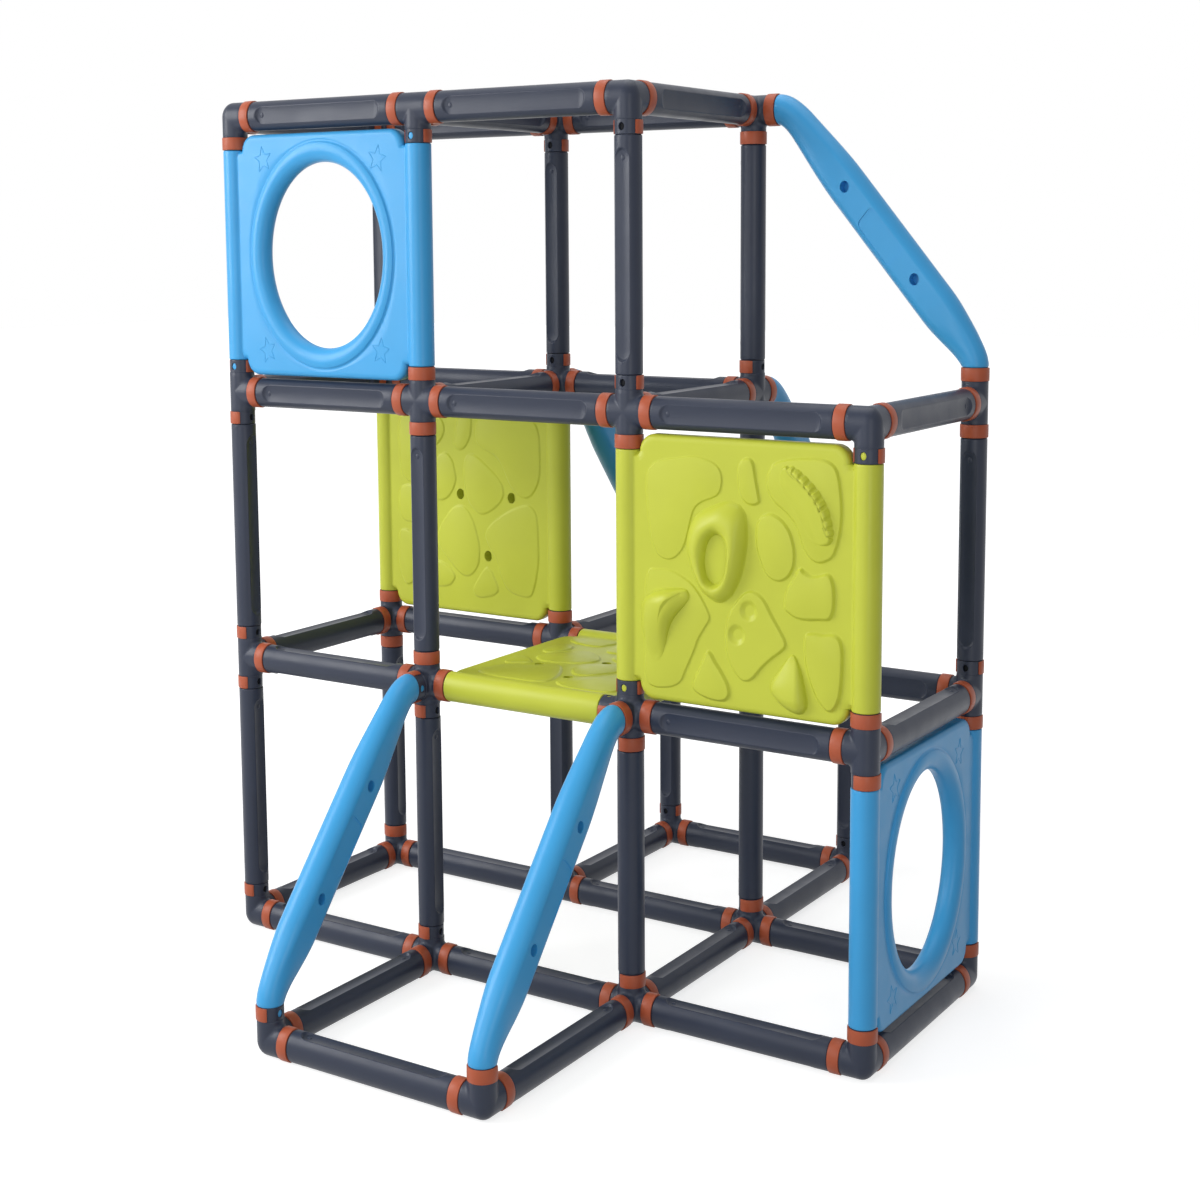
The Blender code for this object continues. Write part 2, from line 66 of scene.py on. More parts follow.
# Level, column and row of the lower or front end
CROSS = [
    (0, 1, 0), (0, 2, 0), (0, 0, 1), (0, 2, 1), (0, 3, 1), (0, 1, 2), (0, 2, 2),
    (1, 0, 1), (1, 3, 1), (1, 1, 2), (1, 2, 2),
    (2, 0, 1), (2, 1, 1), (2, 2, 1), (2, 3, 1),
    (3, 0, 1), (3, 1, 1), (3, 2, 1),
]
POSTS = [
    (0, 0, 1), (0, 1, 1), (0, 2, 1), (0, 0, 2), (0, 1, 2), (0, 2, 2), (0, 1, 3), (0, 2, 3),
    (1, 0, 1), (1, 1, 1), (1, 2, 2), (1, 3, 2),
    (2, 2, 1), (2, 0, 2), (2, 1, 2), (2, 2, 2),
]
# Name, kind, corner, way across and way up
PANELS = [
    ("crawl_panel_upper", "crawl", (0, 1, 2), RIGHT, UP),
    ("crawl_panel_lower", "crawl", (3, 1, 0), REAR, UP),
    ("climb_panel_front", "climb", (2, 1, 1), RIGHT, UP),
    ("climb_panel_rear", "climb", (1, 2, 1), LEFT, UP),
    ("climb_panel_floor", "climb", (1, 1, 1), REAR, RIGHT),
]
# Name, upper end and way out
BRACES = [
    ("brace_front_left", (1, 1, 1), FRONT),
    ("brace_front_right", (2, 1, 1), FRONT),
    ("brace_rear_left", (1, 2, 2), REAR),
    ("brace_rear_right", (2, 2, 2), REAR),
    ("brace_top_right", (2, 2, 3), RIGHT),
]


def place(hub):
    return BASE + np.array(hub) * BAY


def add(a, b):
    return tuple(p + q for p, q in zip(a, b))


def turned(step):
    return tuple(-s for s in step)


def axis_of(step):
    return max(range(3), key=lambda i: abs(step[i]))


def reach(step):
    return REACH_UP if axis_of(step) == 2 else REACH


arms = {}


def join(hub, step, spigot):
    # An arm of the connector, and the colour of the tube that plugs into it
    arms.setdefault(hub, {})[step] = spigot


for level, row, first, last in RAILS:
    for col in range(first, last + 1):
        arms.setdefault((col, row, level), {})
        if col < last:
            join((col, row, level), RIGHT, "grey")
            join((col + 1, row, level), LEFT, "grey")
for level, col, row in CROSS:
    join((col, row, level), REAR, "grey")
    join((col, row + 1, level), FRONT, "grey")
for level, col, row in POSTS:
    join((col, row, level), UP, "grey")
    join((col, row, level + 1), DOWN, "grey")
for name, kind, hub, right, up in PANELS:
    colour = "blue" if kind == "crawl" else "green"
    for foot in (hub, add(hub, right)):
        join(foot, up, colour)
        join(add(foot, up), turned(up), colour)
for name, hub, step in BRACES:
    join(hub, step, "blue")
    join(add(add(hub, step), DOWN), UP, "blue")


# Materials

def shader_node(tree, kind, **values):
    # The values are those of its inputs, with _ for a space
    made = tree.nodes.new("ShaderNode" + kind)
    for name, value in values.items():
        made.inputs[name.replace("_", " ")].default_value = value
    return made


def wire(tree, *links):
    for source, output, target, into in links:
        tree.links.new(source.outputs[output], target.inputs[into])


def new_material(name):
    mat = bpy.data.materials.new(name)
    mat.use_nodes = True
    return mat, mat.node_tree, mat.node_tree.nodes["Principled BSDF"]


def moulded(name, colour, roughness, grain, mottle, gloss):
    # Injection-moulded plastic: slight unevenness of colour and gloss, and a fine grain
    mat, tree, shader = new_material(name)
    for key, value in (("Metallic", 0.0), ("IOR", 1.5), ("Specular IOR Level", gloss)):
        shader.inputs[key].default_value = value
    where, ramp = shader_node(tree, "TexCoord"), shader_node(tree, "ValToRGB")
    for stop, at, share in zip(ramp.color_ramp.elements, (0.3, 0.7), (1 - mottle, 1 + mottle)):
        stop.position = at
        stop.color = (*[min(1, c * share) for c in colour], 1)
    spread = shader_node(tree, "MapRange", From_Min=0.3, From_Max=0.7,
                         To_Min=roughness - 0.04, To_Max=roughness + 0.05)
    bumps = shader_node(tree, "Bump", Strength=grain, Distance=0.0002)
    for scale, detail, target, into in ((9.0, 4.0, ramp, "Fac"), (26.0, 3.0, spread, "Value"),
                                        (1400.0, 2.0, bumps, "Height")):
        noise = shader_node(tree, "TexNoise", Scale=scale, Detail=detail)
        wire(tree, (where, "Object", noise, "Vector"), (noise, "Fac", target, into))
    wire(tree, (ramp, "Color", shader, "Base Color"), (spread, "Result", shader, "Roughness"),
         (bumps, "Normal", shader, "Normal"))
    return mat


GREY = moulded("grey_plastic", (0.024, 0.031, 0.054), 0.38, 0.25, 0.05, 0.30)
ORANGE = moulded("orange_plastic", (0.400, 0.088, 0.038), 0.42, 0.20, 0.04, 0.30)
BLUE = moulded("blue_plastic", (0.050, 0.350, 0.700), 0.34, 0.15, 0.03, 0.30)
GREEN = moulded("green_plastic", (0.520, 0.560, 0.050), 0.38, 0.15, 0.03, 0.30)
# Near-black for the catches in the grey collars' holes: painted shade, standing in for the shadow inside
# those holes, not the grey spigot's own colour
SHADE_BLACK = moulded("painted_shade_black", (0.006, 0.007, 0.009), 0.60, 0.20, 0.05, 0.10)
MATERIALS = {"grey": SHADE_BLACK, "blue": BLUE, "green": GREEN}


# Meshes

def stretched(points):
    points = np.array(points, float)
    points[:, 2] = np.maximum(LIFT + STRETCH * points[:, 2], 0.0)
    return points


def add_object(name, data):
    obj = bpy.data.objects.new(name, data)
    bpy.context.scene.collection.objects.link(obj)
    return obj


class Skin:
    # Collects grids of points and their faces for one piece
    def __init__(self):
        self.points, self.faces, self.count = [], [], 0

    def put(self, points):
        self.points.append(np.asarray(points, float).reshape(-1, 3))
        self.count += len(self.points[-1])
        return self.count - len(self.points[-1])

    def grid(self, rows, wrap=True, caps=True, round_trip=False, skip=None):
        rows = np.asarray(rows, float)
        m, n = rows.shape[:2]
        base = self.put(rows)
        i = np.arange(m if round_trip else m - 1)[:, None]
        j = np.arange(n if wrap else n - 1)[None, :]
        a, b = i * n + j, i * n + (j + 1) % n
        d, c = (i + 1) % m * n + j, (i + 1) % m * n + (j + 1) % n
        faces = base + np.stack([a, b, c, d], -1)
        self.faces.extend((faces[~skip] if skip is not None else faces.reshape(-1, 4)).tolist())
        if caps and wrap and not round_trip:
            for row, order in ((0, 1), (m - 1, -1)):
                self.faces.append(tuple(range(base + row * n, base + row * n + n))[::-order])
        return base

    def take(self, mesh):
        # Adds the points and faces of a finished mesh
        base = self.put([v.co[:] for v in mesh.vertices])
        self.faces.extend([base + k for k in p.vertices] for p in mesh.polygons)

    def mesh(self, name, place_it):
        mesh = bpy.data.meshes.new(name)
        mesh.from_pydata(place_it(np.concatenate(self.points)).tolist(), [], self.faces)
        bm = bmesh.new()
        bm.from_mesh(mesh)
        bmesh.ops.remove_doubles(bm, verts=bm.verts, dist=WELD)
        bmesh.ops.dissolve_degenerate(bm, edges=bm.edges, dist=WELD)
        bmesh.ops.recalc_face_normals(bm, faces=bm.faces)
        bm.to_mesh(mesh)
        bm.free()
        return mesh

    def make(self, name, material, sharp=40, place_it=stretched):
        mesh = self.mesh(name, place_it)
        mesh.materials.append(material)
        mesh.shade_smooth()
        mesh.set_sharp_from_angle(angle=math.radians(sharp))
        return add_object(name, mesh)


def cut(skin, cutters):
    # The skin's mesh with the cutters taken out of it; the cut is made in millimetres
    body, *tools = [add_object(f"cut_{n}", one.mesh(f"cut_{n}", lambda p: p * 1000))
                    for n, one in enumerate([skin, *cutters])]
    for tool in tools:
        step = body.modifiers.new("cut", "BOOLEAN")
        step.operation, step.solver, step.object = "DIFFERENCE", "EXACT", tool
    graph = bpy.context.evaluated_depsgraph_get()
    mesh = bpy.data.meshes.new_from_object(body.evaluated_get(graph))
    mesh.transform(Matrix.Scale(MM, 4))
    for obj in [body] + tools:
        data = obj.data
        bpy.data.objects.remove(obj)
        bpy.data.meshes.remove(data)
    return mesh


def dress(obj, material, *nodes):
    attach(obj, "root")
    if nodes:
        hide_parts(*nodes)


def circle(count):
    return np.linspace(0, 2 * math.pi, count, endpoint=False)


def run_along(points):
    # Length of the line up to each of its points
    return np.concatenate([[0], np.cumsum(np.linalg.norm(np.diff(points, axis=0), axis=1))])


def sample(at, run, points):
    return np.stack([np.interp(at, run, column) for column in points.T], axis=1)


def smoothstep(x):
    x = np.clip(x, 0.0, 1.0)
    return x * x * (3 - 2 * x)


def unit(v):
    v = np.asarray(v, float)
    return v / np.linalg.norm(v)


# Tubes

FLUTE_HALF = 12.0 * MM      # half width of the flute
FLUTE_DEEP = 15.9 * MM      # centre line to the middle of the flute
FLUTE_EDGE = 17.5 * MM      # centre line to its edge
FLUTE_INSET = 19.5 * MM     # tube's end to the end of the flute
FLUTE_WALL = 1.25           # slope of the wall at its ends
FLUTE_SOFT = 0.6 * MM
FLUTE_LIP = 0.22 * MM       # height of the soft lip along its edge
FLUTE_STEP = 0.75 * MM      # spacing of the points at its ends
DOT_INSET = FLUTE_INSET + 0.8 * FLUTE_HALF
DOT = [(4.0, -0.8), (4.0, 0.05), (3.5, 0.45), (2.6, 0.85), (1.5, 1.1), (0.5, 1.2)]  # radius, height
TUBE_GAP = 0.3 * MM
# How far in from the tube's end, and how much thinner there
TUBE_ENDS = [(TUBE_GAP, -3.0 * MM), (TUBE_GAP, -1.5 * MM), (0.5 * MM, -0.85 * MM),
             (0.9 * MM, -0.35 * MM), (1.6 * MM, -0.06 * MM), (2.4 * MM, 0.0)]

# Angles round a tube, closest at the edge of the flute
quarter = [0, 5, 10, 15, 20, 24, 27.5, 30, 31.5, 32.6, 33.6, 34.6, 35.6, 36.6, 37.8, 39.5, 42, 46,
           52, 60, 67.5, 75, 82.5, 90]
half = quarter + [180 - a for a in quarter[-2::-1]]
TUBE_ANGLES = np.radians(half + [360 - a for a in half[-2:0:-1]])
PLAIN_ANGLES = np.radians(np.arange(0, 360, 6))


def soft_min(a, b, k):
    h = np.clip(0.5 + 0.5 * (b - a) / k, 0, 1)
    return b + (a - b) * h - k * h * (1 - h)


def tube(skin, start, stop, side, flutes=2):
    # Round tube with softly rounded ends and a long flute in one side or in two opposite sides
    length = np.linalg.norm(stop - start)
    along = unit(stop - start)
    side = unit(side)
    other = np.cross(along, side)
    xs = [x for x, dr in TUBE_ENDS] + [8 * MM, 14 * MM]
    if flutes:
        xs += list(np.arange(FLUTE_INSET - 3.5 * MM, FLUTE_INSET + FLUTE_HALF + 2 * MM, FLUTE_STEP))
        xs += [length / 2 - 50 * MM]
    drs = [dr for x, dr in TUBE_ENDS] + [0.0] * (len(xs) - len(TUBE_ENDS))
    x = np.array(xs + [length - v for v in xs[::-1]])
    dr = np.array(drs + drs[::-1])
    X, A = np.meshgrid(x, TUBE_ANGLES if flutes else PLAIN_ANGLES, indexing="ij")
    r = TUBE_R + dr[:, None]
    rise, width = r * np.cos(A), r * np.sin(A)
    if flutes:
        first, last = FLUTE_INSET + FLUTE_HALF, length - FLUTE_INSET - FLUTE_HALF
        d = np.hypot(X - np.clip(X, first, last), width)
        share = np.minimum(d / FLUTE_HALF, 1.0)
        trough = FLUTE_DEEP + (FLUTE_EDGE - FLUTE_DEEP) * share ** 2
        trough += FLUTE_WALL * np.maximum(d - FLUTE_HALF, 0.0)
        there = np.abs(width) < 1.7 * FLUTE_HALF
        if flutes == 1:
            there &= rise > 0
        lip = FLUTE_LIP * np.exp(-((d - FLUTE_HALF - 1.2 * MM) / (0.8 * MM)) ** 2)
        fluted = soft_min(np.abs(rise) + lip, trough, FLUTE_SOFT)
        rise = np.where(there, np.sign(rise) * fluted, rise)
    skin.grid(start + along * X[..., None] + side * rise[..., None] + other * width[..., None])
    if flutes:
        # Small moulded dot in the end of the flute
        turn, dots = circle(18), []
        for r, h in DOT:
            u, w = DOT_INSET + r * MM * np.cos(turn), r * MM * np.sin(turn)
            dots.append(stop - along * u[:, None] + other * w[:, None]
                        + side * (FLUTE_DEEP + h * MM))
        skin.grid(dots)


# Connectors

FILLET = 6.5 * MM
NECK = {False: 28.5 * MM, True: 33.5 * MM / STRETCH}    # centre to a level, upright arm's collar
COLLAR_IN = 0.8 * MM        # how much thinner the collar is than the arm
COLLAR_STEPS = 6
PATCH_LOW, PATCH_HIGH = 0.7 * MM, 1.0 * MM      # from the collar's ends to the patch with the hole
HOLE_R = 5.4 * MM
HOLE_DEEP = 4.0 * MM
fine_quarter = np.radians([0, 3, 6, 10, 15, 21, 27, 33, 39, 45, 51, 57, 63, 69, 75, 80, 84, 87, 90])
HALF_WAY = 9                # where the list passes 45 degrees
BLEND_STEPS = [0, .02, .045, .08, .12, .17, .23, .31, .42, .58, .78, 1.0]


def union_distance(p, steps):
    # Distance to arms of one radius, rounded where they meet at an angle
    dist, grad = [], []
    for a in steps:
        t = np.maximum(p @ a, 0.0)
        d = p - t[:, None] * a
        n = np.linalg.norm(d, axis=1)
        dist.append(n - TUBE_R)
        grad.append(d / np.maximum(n, 1e-9)[:, None])
    low = np.min(dist, axis=0)
    for i, j in itertools.combinations(range(len(steps)), 2):
        k = np.maximum(FILLET * (1 - np.sum(grad[i] * grad[j], axis=1)), 1e-7)
        h = np.maximum(k - np.abs(dist[i] - dist[j]), 0.0) / k
        low = np.minimum(low, np.minimum(dist[i], dist[j]) - h * h * k / 4)
    return low


def settle(p, steps):
    eye = np.eye(3) * 0.02 * MM
    for k in range(6):
        f = union_distance(p, steps)
        g = np.stack([
            union_distance(p + eye[n], steps) - union_distance(p - eye[n], steps)
            for n in range(3)
        ], axis=1) / (0.04 * MM)
        p = p - (f / np.maximum(np.sum(g * g, axis=1), 0.25))[:, None] * g
    return p


def connector(skin, hub):
    own = arms[hub]
    centre, steps = place(hub), [np.array(s, float) for s in own]
    cosq, sinq = TUBE_R * np.cos(fine_quarter), TUBE_R * np.sin(fine_quarter)
    for signs in itertools.product((1, -1), repeat=3):
        ways = [tuple(s if n == axis else 0 for n, s in enumerate(signs)) for axis in range(3)]
        there = [way in own for way in ways]
        sign = np.array(signs, float)
        for i in range(3):
            if not there[i]:
                continue
            j, k = (i + 1) % 3, (i + 2) % 3
            begin = np.maximum(cosq * there[j], sinq * there[k])
            neck, tip = NECK[i == 2], reach(ways[i])

            def layer(x, share=1.0):
                p = np.zeros((len(cosq), 3))
                p[:, i], p[:, j], p[:, k] = x, cosq * share, sinq * share
                return p * sign

            body = np.array([layer(begin + (neck - begin) * t) for t in BLEND_STEPS])
            body = settle(body.reshape(-1, 3), steps).reshape(body.shape)
            low, high = neck + PATCH_LOW, tip - PATCH_HIGH
            collar = [(neck + 0.4 * MM, -0.15 * MM)]
            collar += [(x, -COLLAR_IN) for x in np.linspace(low, high, COLLAR_STEPS + 1)]
            collar += [(tip - 0.4 * MM, -COLLAR_IN - 0.25 * MM),
                       (tip - 0.08 * MM, -COLLAR_IN - 0.9 * MM), (tip, -COLLAR_IN - 2.2 * MM),
                       (tip, -TUBE_R)]
            rows = [layer(x, (TUBE_R + dr) / TUBE_R) for x, dr in collar]
            rows = centre + np.concatenate([body, np.array(rows)])
            # The patch round the collar's hole is left open here
            gap = gap_of(hub, ways[i])
            skip = np.zeros((len(rows) - 1, len(cosq) - 1), dtype=bool)
            first = len(body) + 1
            if gap[j] == signs[j]:
                skip[first:first + COLLAR_STEPS, :HALF_WAY] = True
            if gap[k] == signs[k]:
                skip[first:first + COLLAR_STEPS, HALF_WAY:] = True
            skin.grid(rows, wrap=False, caps=False, skip=skip)
        if not any(there):
            lat, lon = np.meshgrid(fine_quarter, fine_quarter, indexing="ij")
            p = np.stack([np.sin(lat) * np.cos(lon), np.sin(lat) * np.sin(lon), np.cos(lat)], -1)
            skin.grid(centre + TUBE_R * p * sign, wrap=False, caps=False)
    for step in own:
        hole(skin, centre, step, gap_of(hub, step))


def axes_of(step, gap):
    along, out = np.array(step, float), np.array(gap, float)
    return along, out, np.cross(along, out)


def hole(skin, centre, step, gap):
    # Round hole in the open part of the collar, in a patch that fits the collar's own points
    along, out, across = axes_of(step, gap)
    low, high = NECK[axis_of(step) == 2] + PATCH_LOW, reach(step) - PATCH_HIGH
    middle = (low + high) / 2
    radius = TUBE_R - COLLAR_IN
    turns = np.concatenate([-fine_quarter[HALF_WAY:0:-1], fine_quarter[:HALF_WAY + 1]])
    xs = np.linspace(low, high, COLLAR_STEPS + 1)[1:-1]
    x = np.concatenate([np.full(len(turns), low), xs, np.full(len(turns), high), xs[::-1]])
    turn = np.concatenate([turns, np.full(len(xs), turns[-1]), turns[::-1],
                           np.full(len(xs), turns[0])])
    x, s = x - middle, turn * radius
    size = np.hypot(x, s)
    rows = []
    for share in (0, 0.35, 0.65, 0.85, 0.95, 1):
        scale = 1 + (HOLE_R / size - 1) * share
        rows.append((x * scale, s * scale, 0.0))
    for r, h in ((0.94, 0.3 * MM), (0.90, 1.0 * MM), (0.88, HOLE_DEEP), (0.1, HOLE_DEEP)):
        rows.append((x * r * HOLE_R / size, s * r * HOLE_R / size, h))
    points = [centre + along * (middle + px)[:, None]
              + (radius - h) * (out * np.cos(ps / radius)[:, None]
                                + across * np.sin(ps / radius)[:, None])
              for px, ps, h in rows]
    skin.grid(points, caps=False)
    skin.faces.append(tuple(range(skin.count - len(x), skin.count)))


# Snap clips

CLIP_OUT = 1.3 * MM         # how far it stands out from the tube
CLIP_FROM, CLIP_TO = 0.9 * MM, 0.7 * MM     # from the collar's ends to the clip's
CLIP_SOFT = 0.6 * MM        # rounding of its edges
CLIP_HALF_ANGLE = 117
CLIP_STEPS = 49


def clip(skin, hub, step, gap):
    # A C of more than half a turn, open on the side of the gap
    along, front, across = axes_of(step, turned(gap))
    centre = place(hub)
    x0, x1 = NECK[axis_of(step) == 2] + CLIP_FROM, reach(step) - CLIP_TO
    out, inside, soft = TUBE_R + CLIP_OUT, TUBE_R - COLLAR_IN - 0.1 * MM, CLIP_SOFT
    outline = [(x0, inside), (x0, out - soft), (x0 + 0.3 * soft, out - 0.3 * soft),
               (x0 + soft, out), ((x0 + x1) / 2, out + 0.1 * MM), (x1 - soft, out),
               (x1 - 0.3 * soft, out - 0.3 * soft), (x1, out - soft), (x1, inside)]
    angles = np.radians(np.linspace(-CLIP_HALF_ANGLE, CLIP_HALF_ANGLE, CLIP_STEPS))
    rows = []
    for n, a in enumerate(angles):
        edge = min(n, len(angles) - 1 - n)
        shrink = (0.55, 0.12, 0.0)[min(edge, 2)]
        radial = front * math.cos(a) + across * math.sin(a)
        row = []
        for x, r in outline:
            r = inside + (r - inside) * (1 - 0.6 * shrink)
            x = x + (((x0 + x1) / 2) - x) * 0.10 * shrink
            row.append(centre + along * x + radial * r)
        rows.append(row)
    skin.grid(rows)


def catch(skin, hub, step, gap, deep):
    # End of the spigot's catch, seen in the round hole of the collar
    along, out, across = axes_of(step, gap)
    middle = (NECK[axis_of(step) == 2] + reach(step)) / 2 - 0.15 * MM
    centre = place(hub) + along * middle
    angles, rows = circle(24), []
    for r, h in ((4.7, -HOLE_DEEP / MM), (4.7, -deep - 0.4), (4.3, -deep - 0.05), (2.6, -deep),
                 (0.4, -deep)):
        x, s = r * MM * np.cos(angles), r * MM * np.sin(angles)
        rise = np.sqrt((TUBE_R - COLLAR_IN) ** 2 - s ** 2) + h * MM
        rows.append(centre + along * x[:, None] + across * s[:, None] + out * rise[:, None])
    skin.grid(rows)


# Which way the open side of a clip looks, then the way its arm goes, and the connectors
OPEN_SIDES = {
    (FRONT, DOWN): [(1, 1, 3), (1, 2, 3), (2, 1, 3), (3, 1, 2)],
    (FRONT, UP): [(0, 1, 2), (2, 1, 2), (2, 1, 1), (3, 2, 1), (1, 2, 2), (1, 3, 0), (2, 3, 0)],
    (RIGHT, DOWN): [(0, 1, 2), (0, 1, 1), (1, 1, 1)],
    (RIGHT, UP): [(0, 1, 1), (0, 1, 0), (1, 1, 0), (2, 2, 2), (1, 0, 0)],
    (RIGHT, FRONT): [(1, 1, 1)],
    (UP, LEFT): [(2, 1, 1)],
    (LEFT, DOWN): [(2, 1, 1), (3, 1, 1)],
    (LEFT, UP): [(2, 1, 0), (2, 2, 0)],
}
GAPS = {(hub, step): gap for (gap, step), hubs in OPEN_SIDES.items() for hub in hubs}


def gap_of(hub, step):
    # By default away from the photograph's viewpoint
    return GAPS.get((hub, step), LEFT if axis_of(step) == 1 else REAR)


# Panels

SLAB = 14.0 * MM            # half thickness of the sheet
EDGE = 8.0 * MM             # rounding of its free edges
CORNER = 26.0 * MM          # width of its rounded corners
CORNER_MID = 50.0 * MM      # tube's centre line to the end of the corner
CLEAR = 31.5 * MM / STRETCH     # connector's line to the free edge
START = REACH + 1.0 * MM    # connector's line to where the sheet joins the tube
RISE = START - CLEAR
SEAT = 12.0 * MM            # centre line to the sheet's side, inside the tube
VALLEY, VALLEY_TOP = 5.0 * MM, 2.2 * MM     # radius of the soft valley at the tube, and its rise
DRAWN = np.array([MM, MM / STRETCH])    # outlines are written in the photograph's millimetres


def free_distance(u, v):
    # Distance from the sheet's free edge; the sides run into the edge tubes
    u, v = np.minimum(u, BAY - u), np.minimum(v, BAY - v)
    inner = CORNER_MID - CORNER
    corner = (1 - np.hypot((u - CORNER_MID) / CORNER, (v - START) / RISE)) * RISE
    low = np.where(u >= CORNER_MID, v - CLEAR, corner)
    high = np.where(u >= inner, np.hypot(u - inner, v - START), v - START)
    high = np.where(u >= CORNER_MID, v - CLEAR, high)
    return np.maximum(np.where(v < START, low, high), 0.0)


def sheet_height(u, v):
    # Half thickness of the plain sheet, with rounded free edges and a soft valley at the tubes
    d = np.minimum(free_distance(u, v), EDGE)
    h = SLAB - EDGE + np.sqrt(np.maximum(EDGE ** 2 - (EDGE - d) ** 2, 0.0))
    side = np.minimum(u, BAY - u)
    cu = math.sqrt((TUBE_R + VALLEY) ** 2 - (SLAB + VALLEY) ** 2)
    arc = SLAB + VALLEY - np.sqrt(np.maximum(VALLEY ** 2 - (side - cu) ** 2, 0.0))
    return h + np.where(side < cu, np.minimum(arc, SLAB + VALLEY_TOP) - SLAB, 0.0) * (d / EDGE)


def smooth_loop(points, count):
    # Closed curve through the points, with evenly spaced samples
    p = np.array(points, float)
    n, parts = len(p), []
    t = np.linspace(0, 1, 16, endpoint=False)[:, None]
    for k in range(n):
        a, b, c, d = p[k - 1], p[k], p[(k + 1) % n], p[(k + 2) % n]
        parts.append(0.5 * (2 * b + (c - a) * t + (2 * a - 5 * b + 4 * c - d) * t ** 2
                            + (3 * b - a - 3 * c + d) * t ** 3))
    closed = np.concatenate(parts + [parts[0][:1]])
    run = run_along(closed)
    return sample(np.linspace(0, run[-1], count, endpoint=False), run, closed)


def inward(loop):
    # Normals of a closed outline, looking into it; shorter in tight corners
    along = np.roll(loop, -1, axis=0) - np.roll(loop, 1, axis=0)
    along /= np.linalg.norm(along, axis=1)[:, None]
    x, y = loop[:, 0], loop[:, 1]
    turn = np.sign(np.sum(x * np.roll(y, -1) - np.roll(x, -1) * y))
    normal = turn * np.stack([-along[:, 1], along[:, 0]], axis=1)
    for k in range(2):
        normal = (np.roll(normal, 1, axis=0) + 2 * normal + np.roll(normal, -1, axis=0)) / 4
    return normal


def lay(points, height, face=-1):
    # Points on the sheet, raised over its front (-1) or its back (1)
    height = np.broadcast_to(height, len(points))
    return np.stack([points[:, 0], face * (SLAB + height), points[:, 1]], axis=1)


def panel(name, shape, material, sharp, hub, right, up):
    # The moulded shape, across, depth and up, with its two edge tubes at its place in the frame
    axes = np.array([right, np.cross(up, right), up], float)
    origin, end, skin = place(hub), reach(up), Skin()
    for u in (0.0, BAY):
        start, stop = (origin + np.array([u, 0.0, v]) @ axes for v in (end, BAY - end))
        tube(skin, start, stop, -axes[1], flutes=0)
    base = skin.put(origin + np.concatenate(shape.points) @ axes)
    skin.faces.extend([base + k for k in face] for face in shape.faces)
    dress(skin.make(name + "_moulded", material, sharp=sharp), material, name)


def ridge(skin, loop, width, height, face):
    # Thin raised line along a closed outline
    normal = inward(loop)
    rows = [lay(loop + normal * width * w, height * h, face)
            for w, h in ((-0.5, -1.5), (-0.5, 0.0), (-0.25, 0.75), (0.0, 1.0), (0.25, 0.75),
                         (0.5, 0.0), (0.5, -1.5))]
    skin.grid(rows, caps=False, round_trip=True)


def raised(skin, loop, profile, face=-1):
    # Closed shell on the sheet: the profile gives inset and height, in millimetres
    normal = inward(loop)
    skin.grid([lay(loop + normal * i * MM, h * MM, face) for i, h in profile])


HOLE_A, HOLE_B = 127.5 * MM, 156.0 * MM / STRETCH
RIM_R, RIM_ANGLE = 18.5 * MM, 118
# Soft groove round the rim: how far out from the hole, and half thickness, in millimetres
GROOVE = [(28.0, 14.6), (29.4, 13.6), (30.6, 13.2), (31.8, 13.5), (33.2, 14.0)]
STARS = [(75, 400, 8), (325, 395, -10), (75, 75, 14), (325, 80, -6)]    # and turn, in degrees
STAR_TIP, STAR_NOTCH = 19.0 * MM, 8.5 * MM


def star(centre, turn):
    # Plain star, five points, straight sides
    k = np.arange(10)
    r, a = np.where(k % 2 == 0, STAR_TIP, STAR_NOTCH), np.radians(90 + turn + 36 * k)
    corners = centre + np.stack([r * np.cos(a), r * np.sin(a)], axis=1)
    nexts = np.roll(corners, -1, axis=0)
    return np.stack([corners * (1 - t) + nexts * t for t in (0.0, 0.33, 0.67)], 1).reshape(-1, 2)


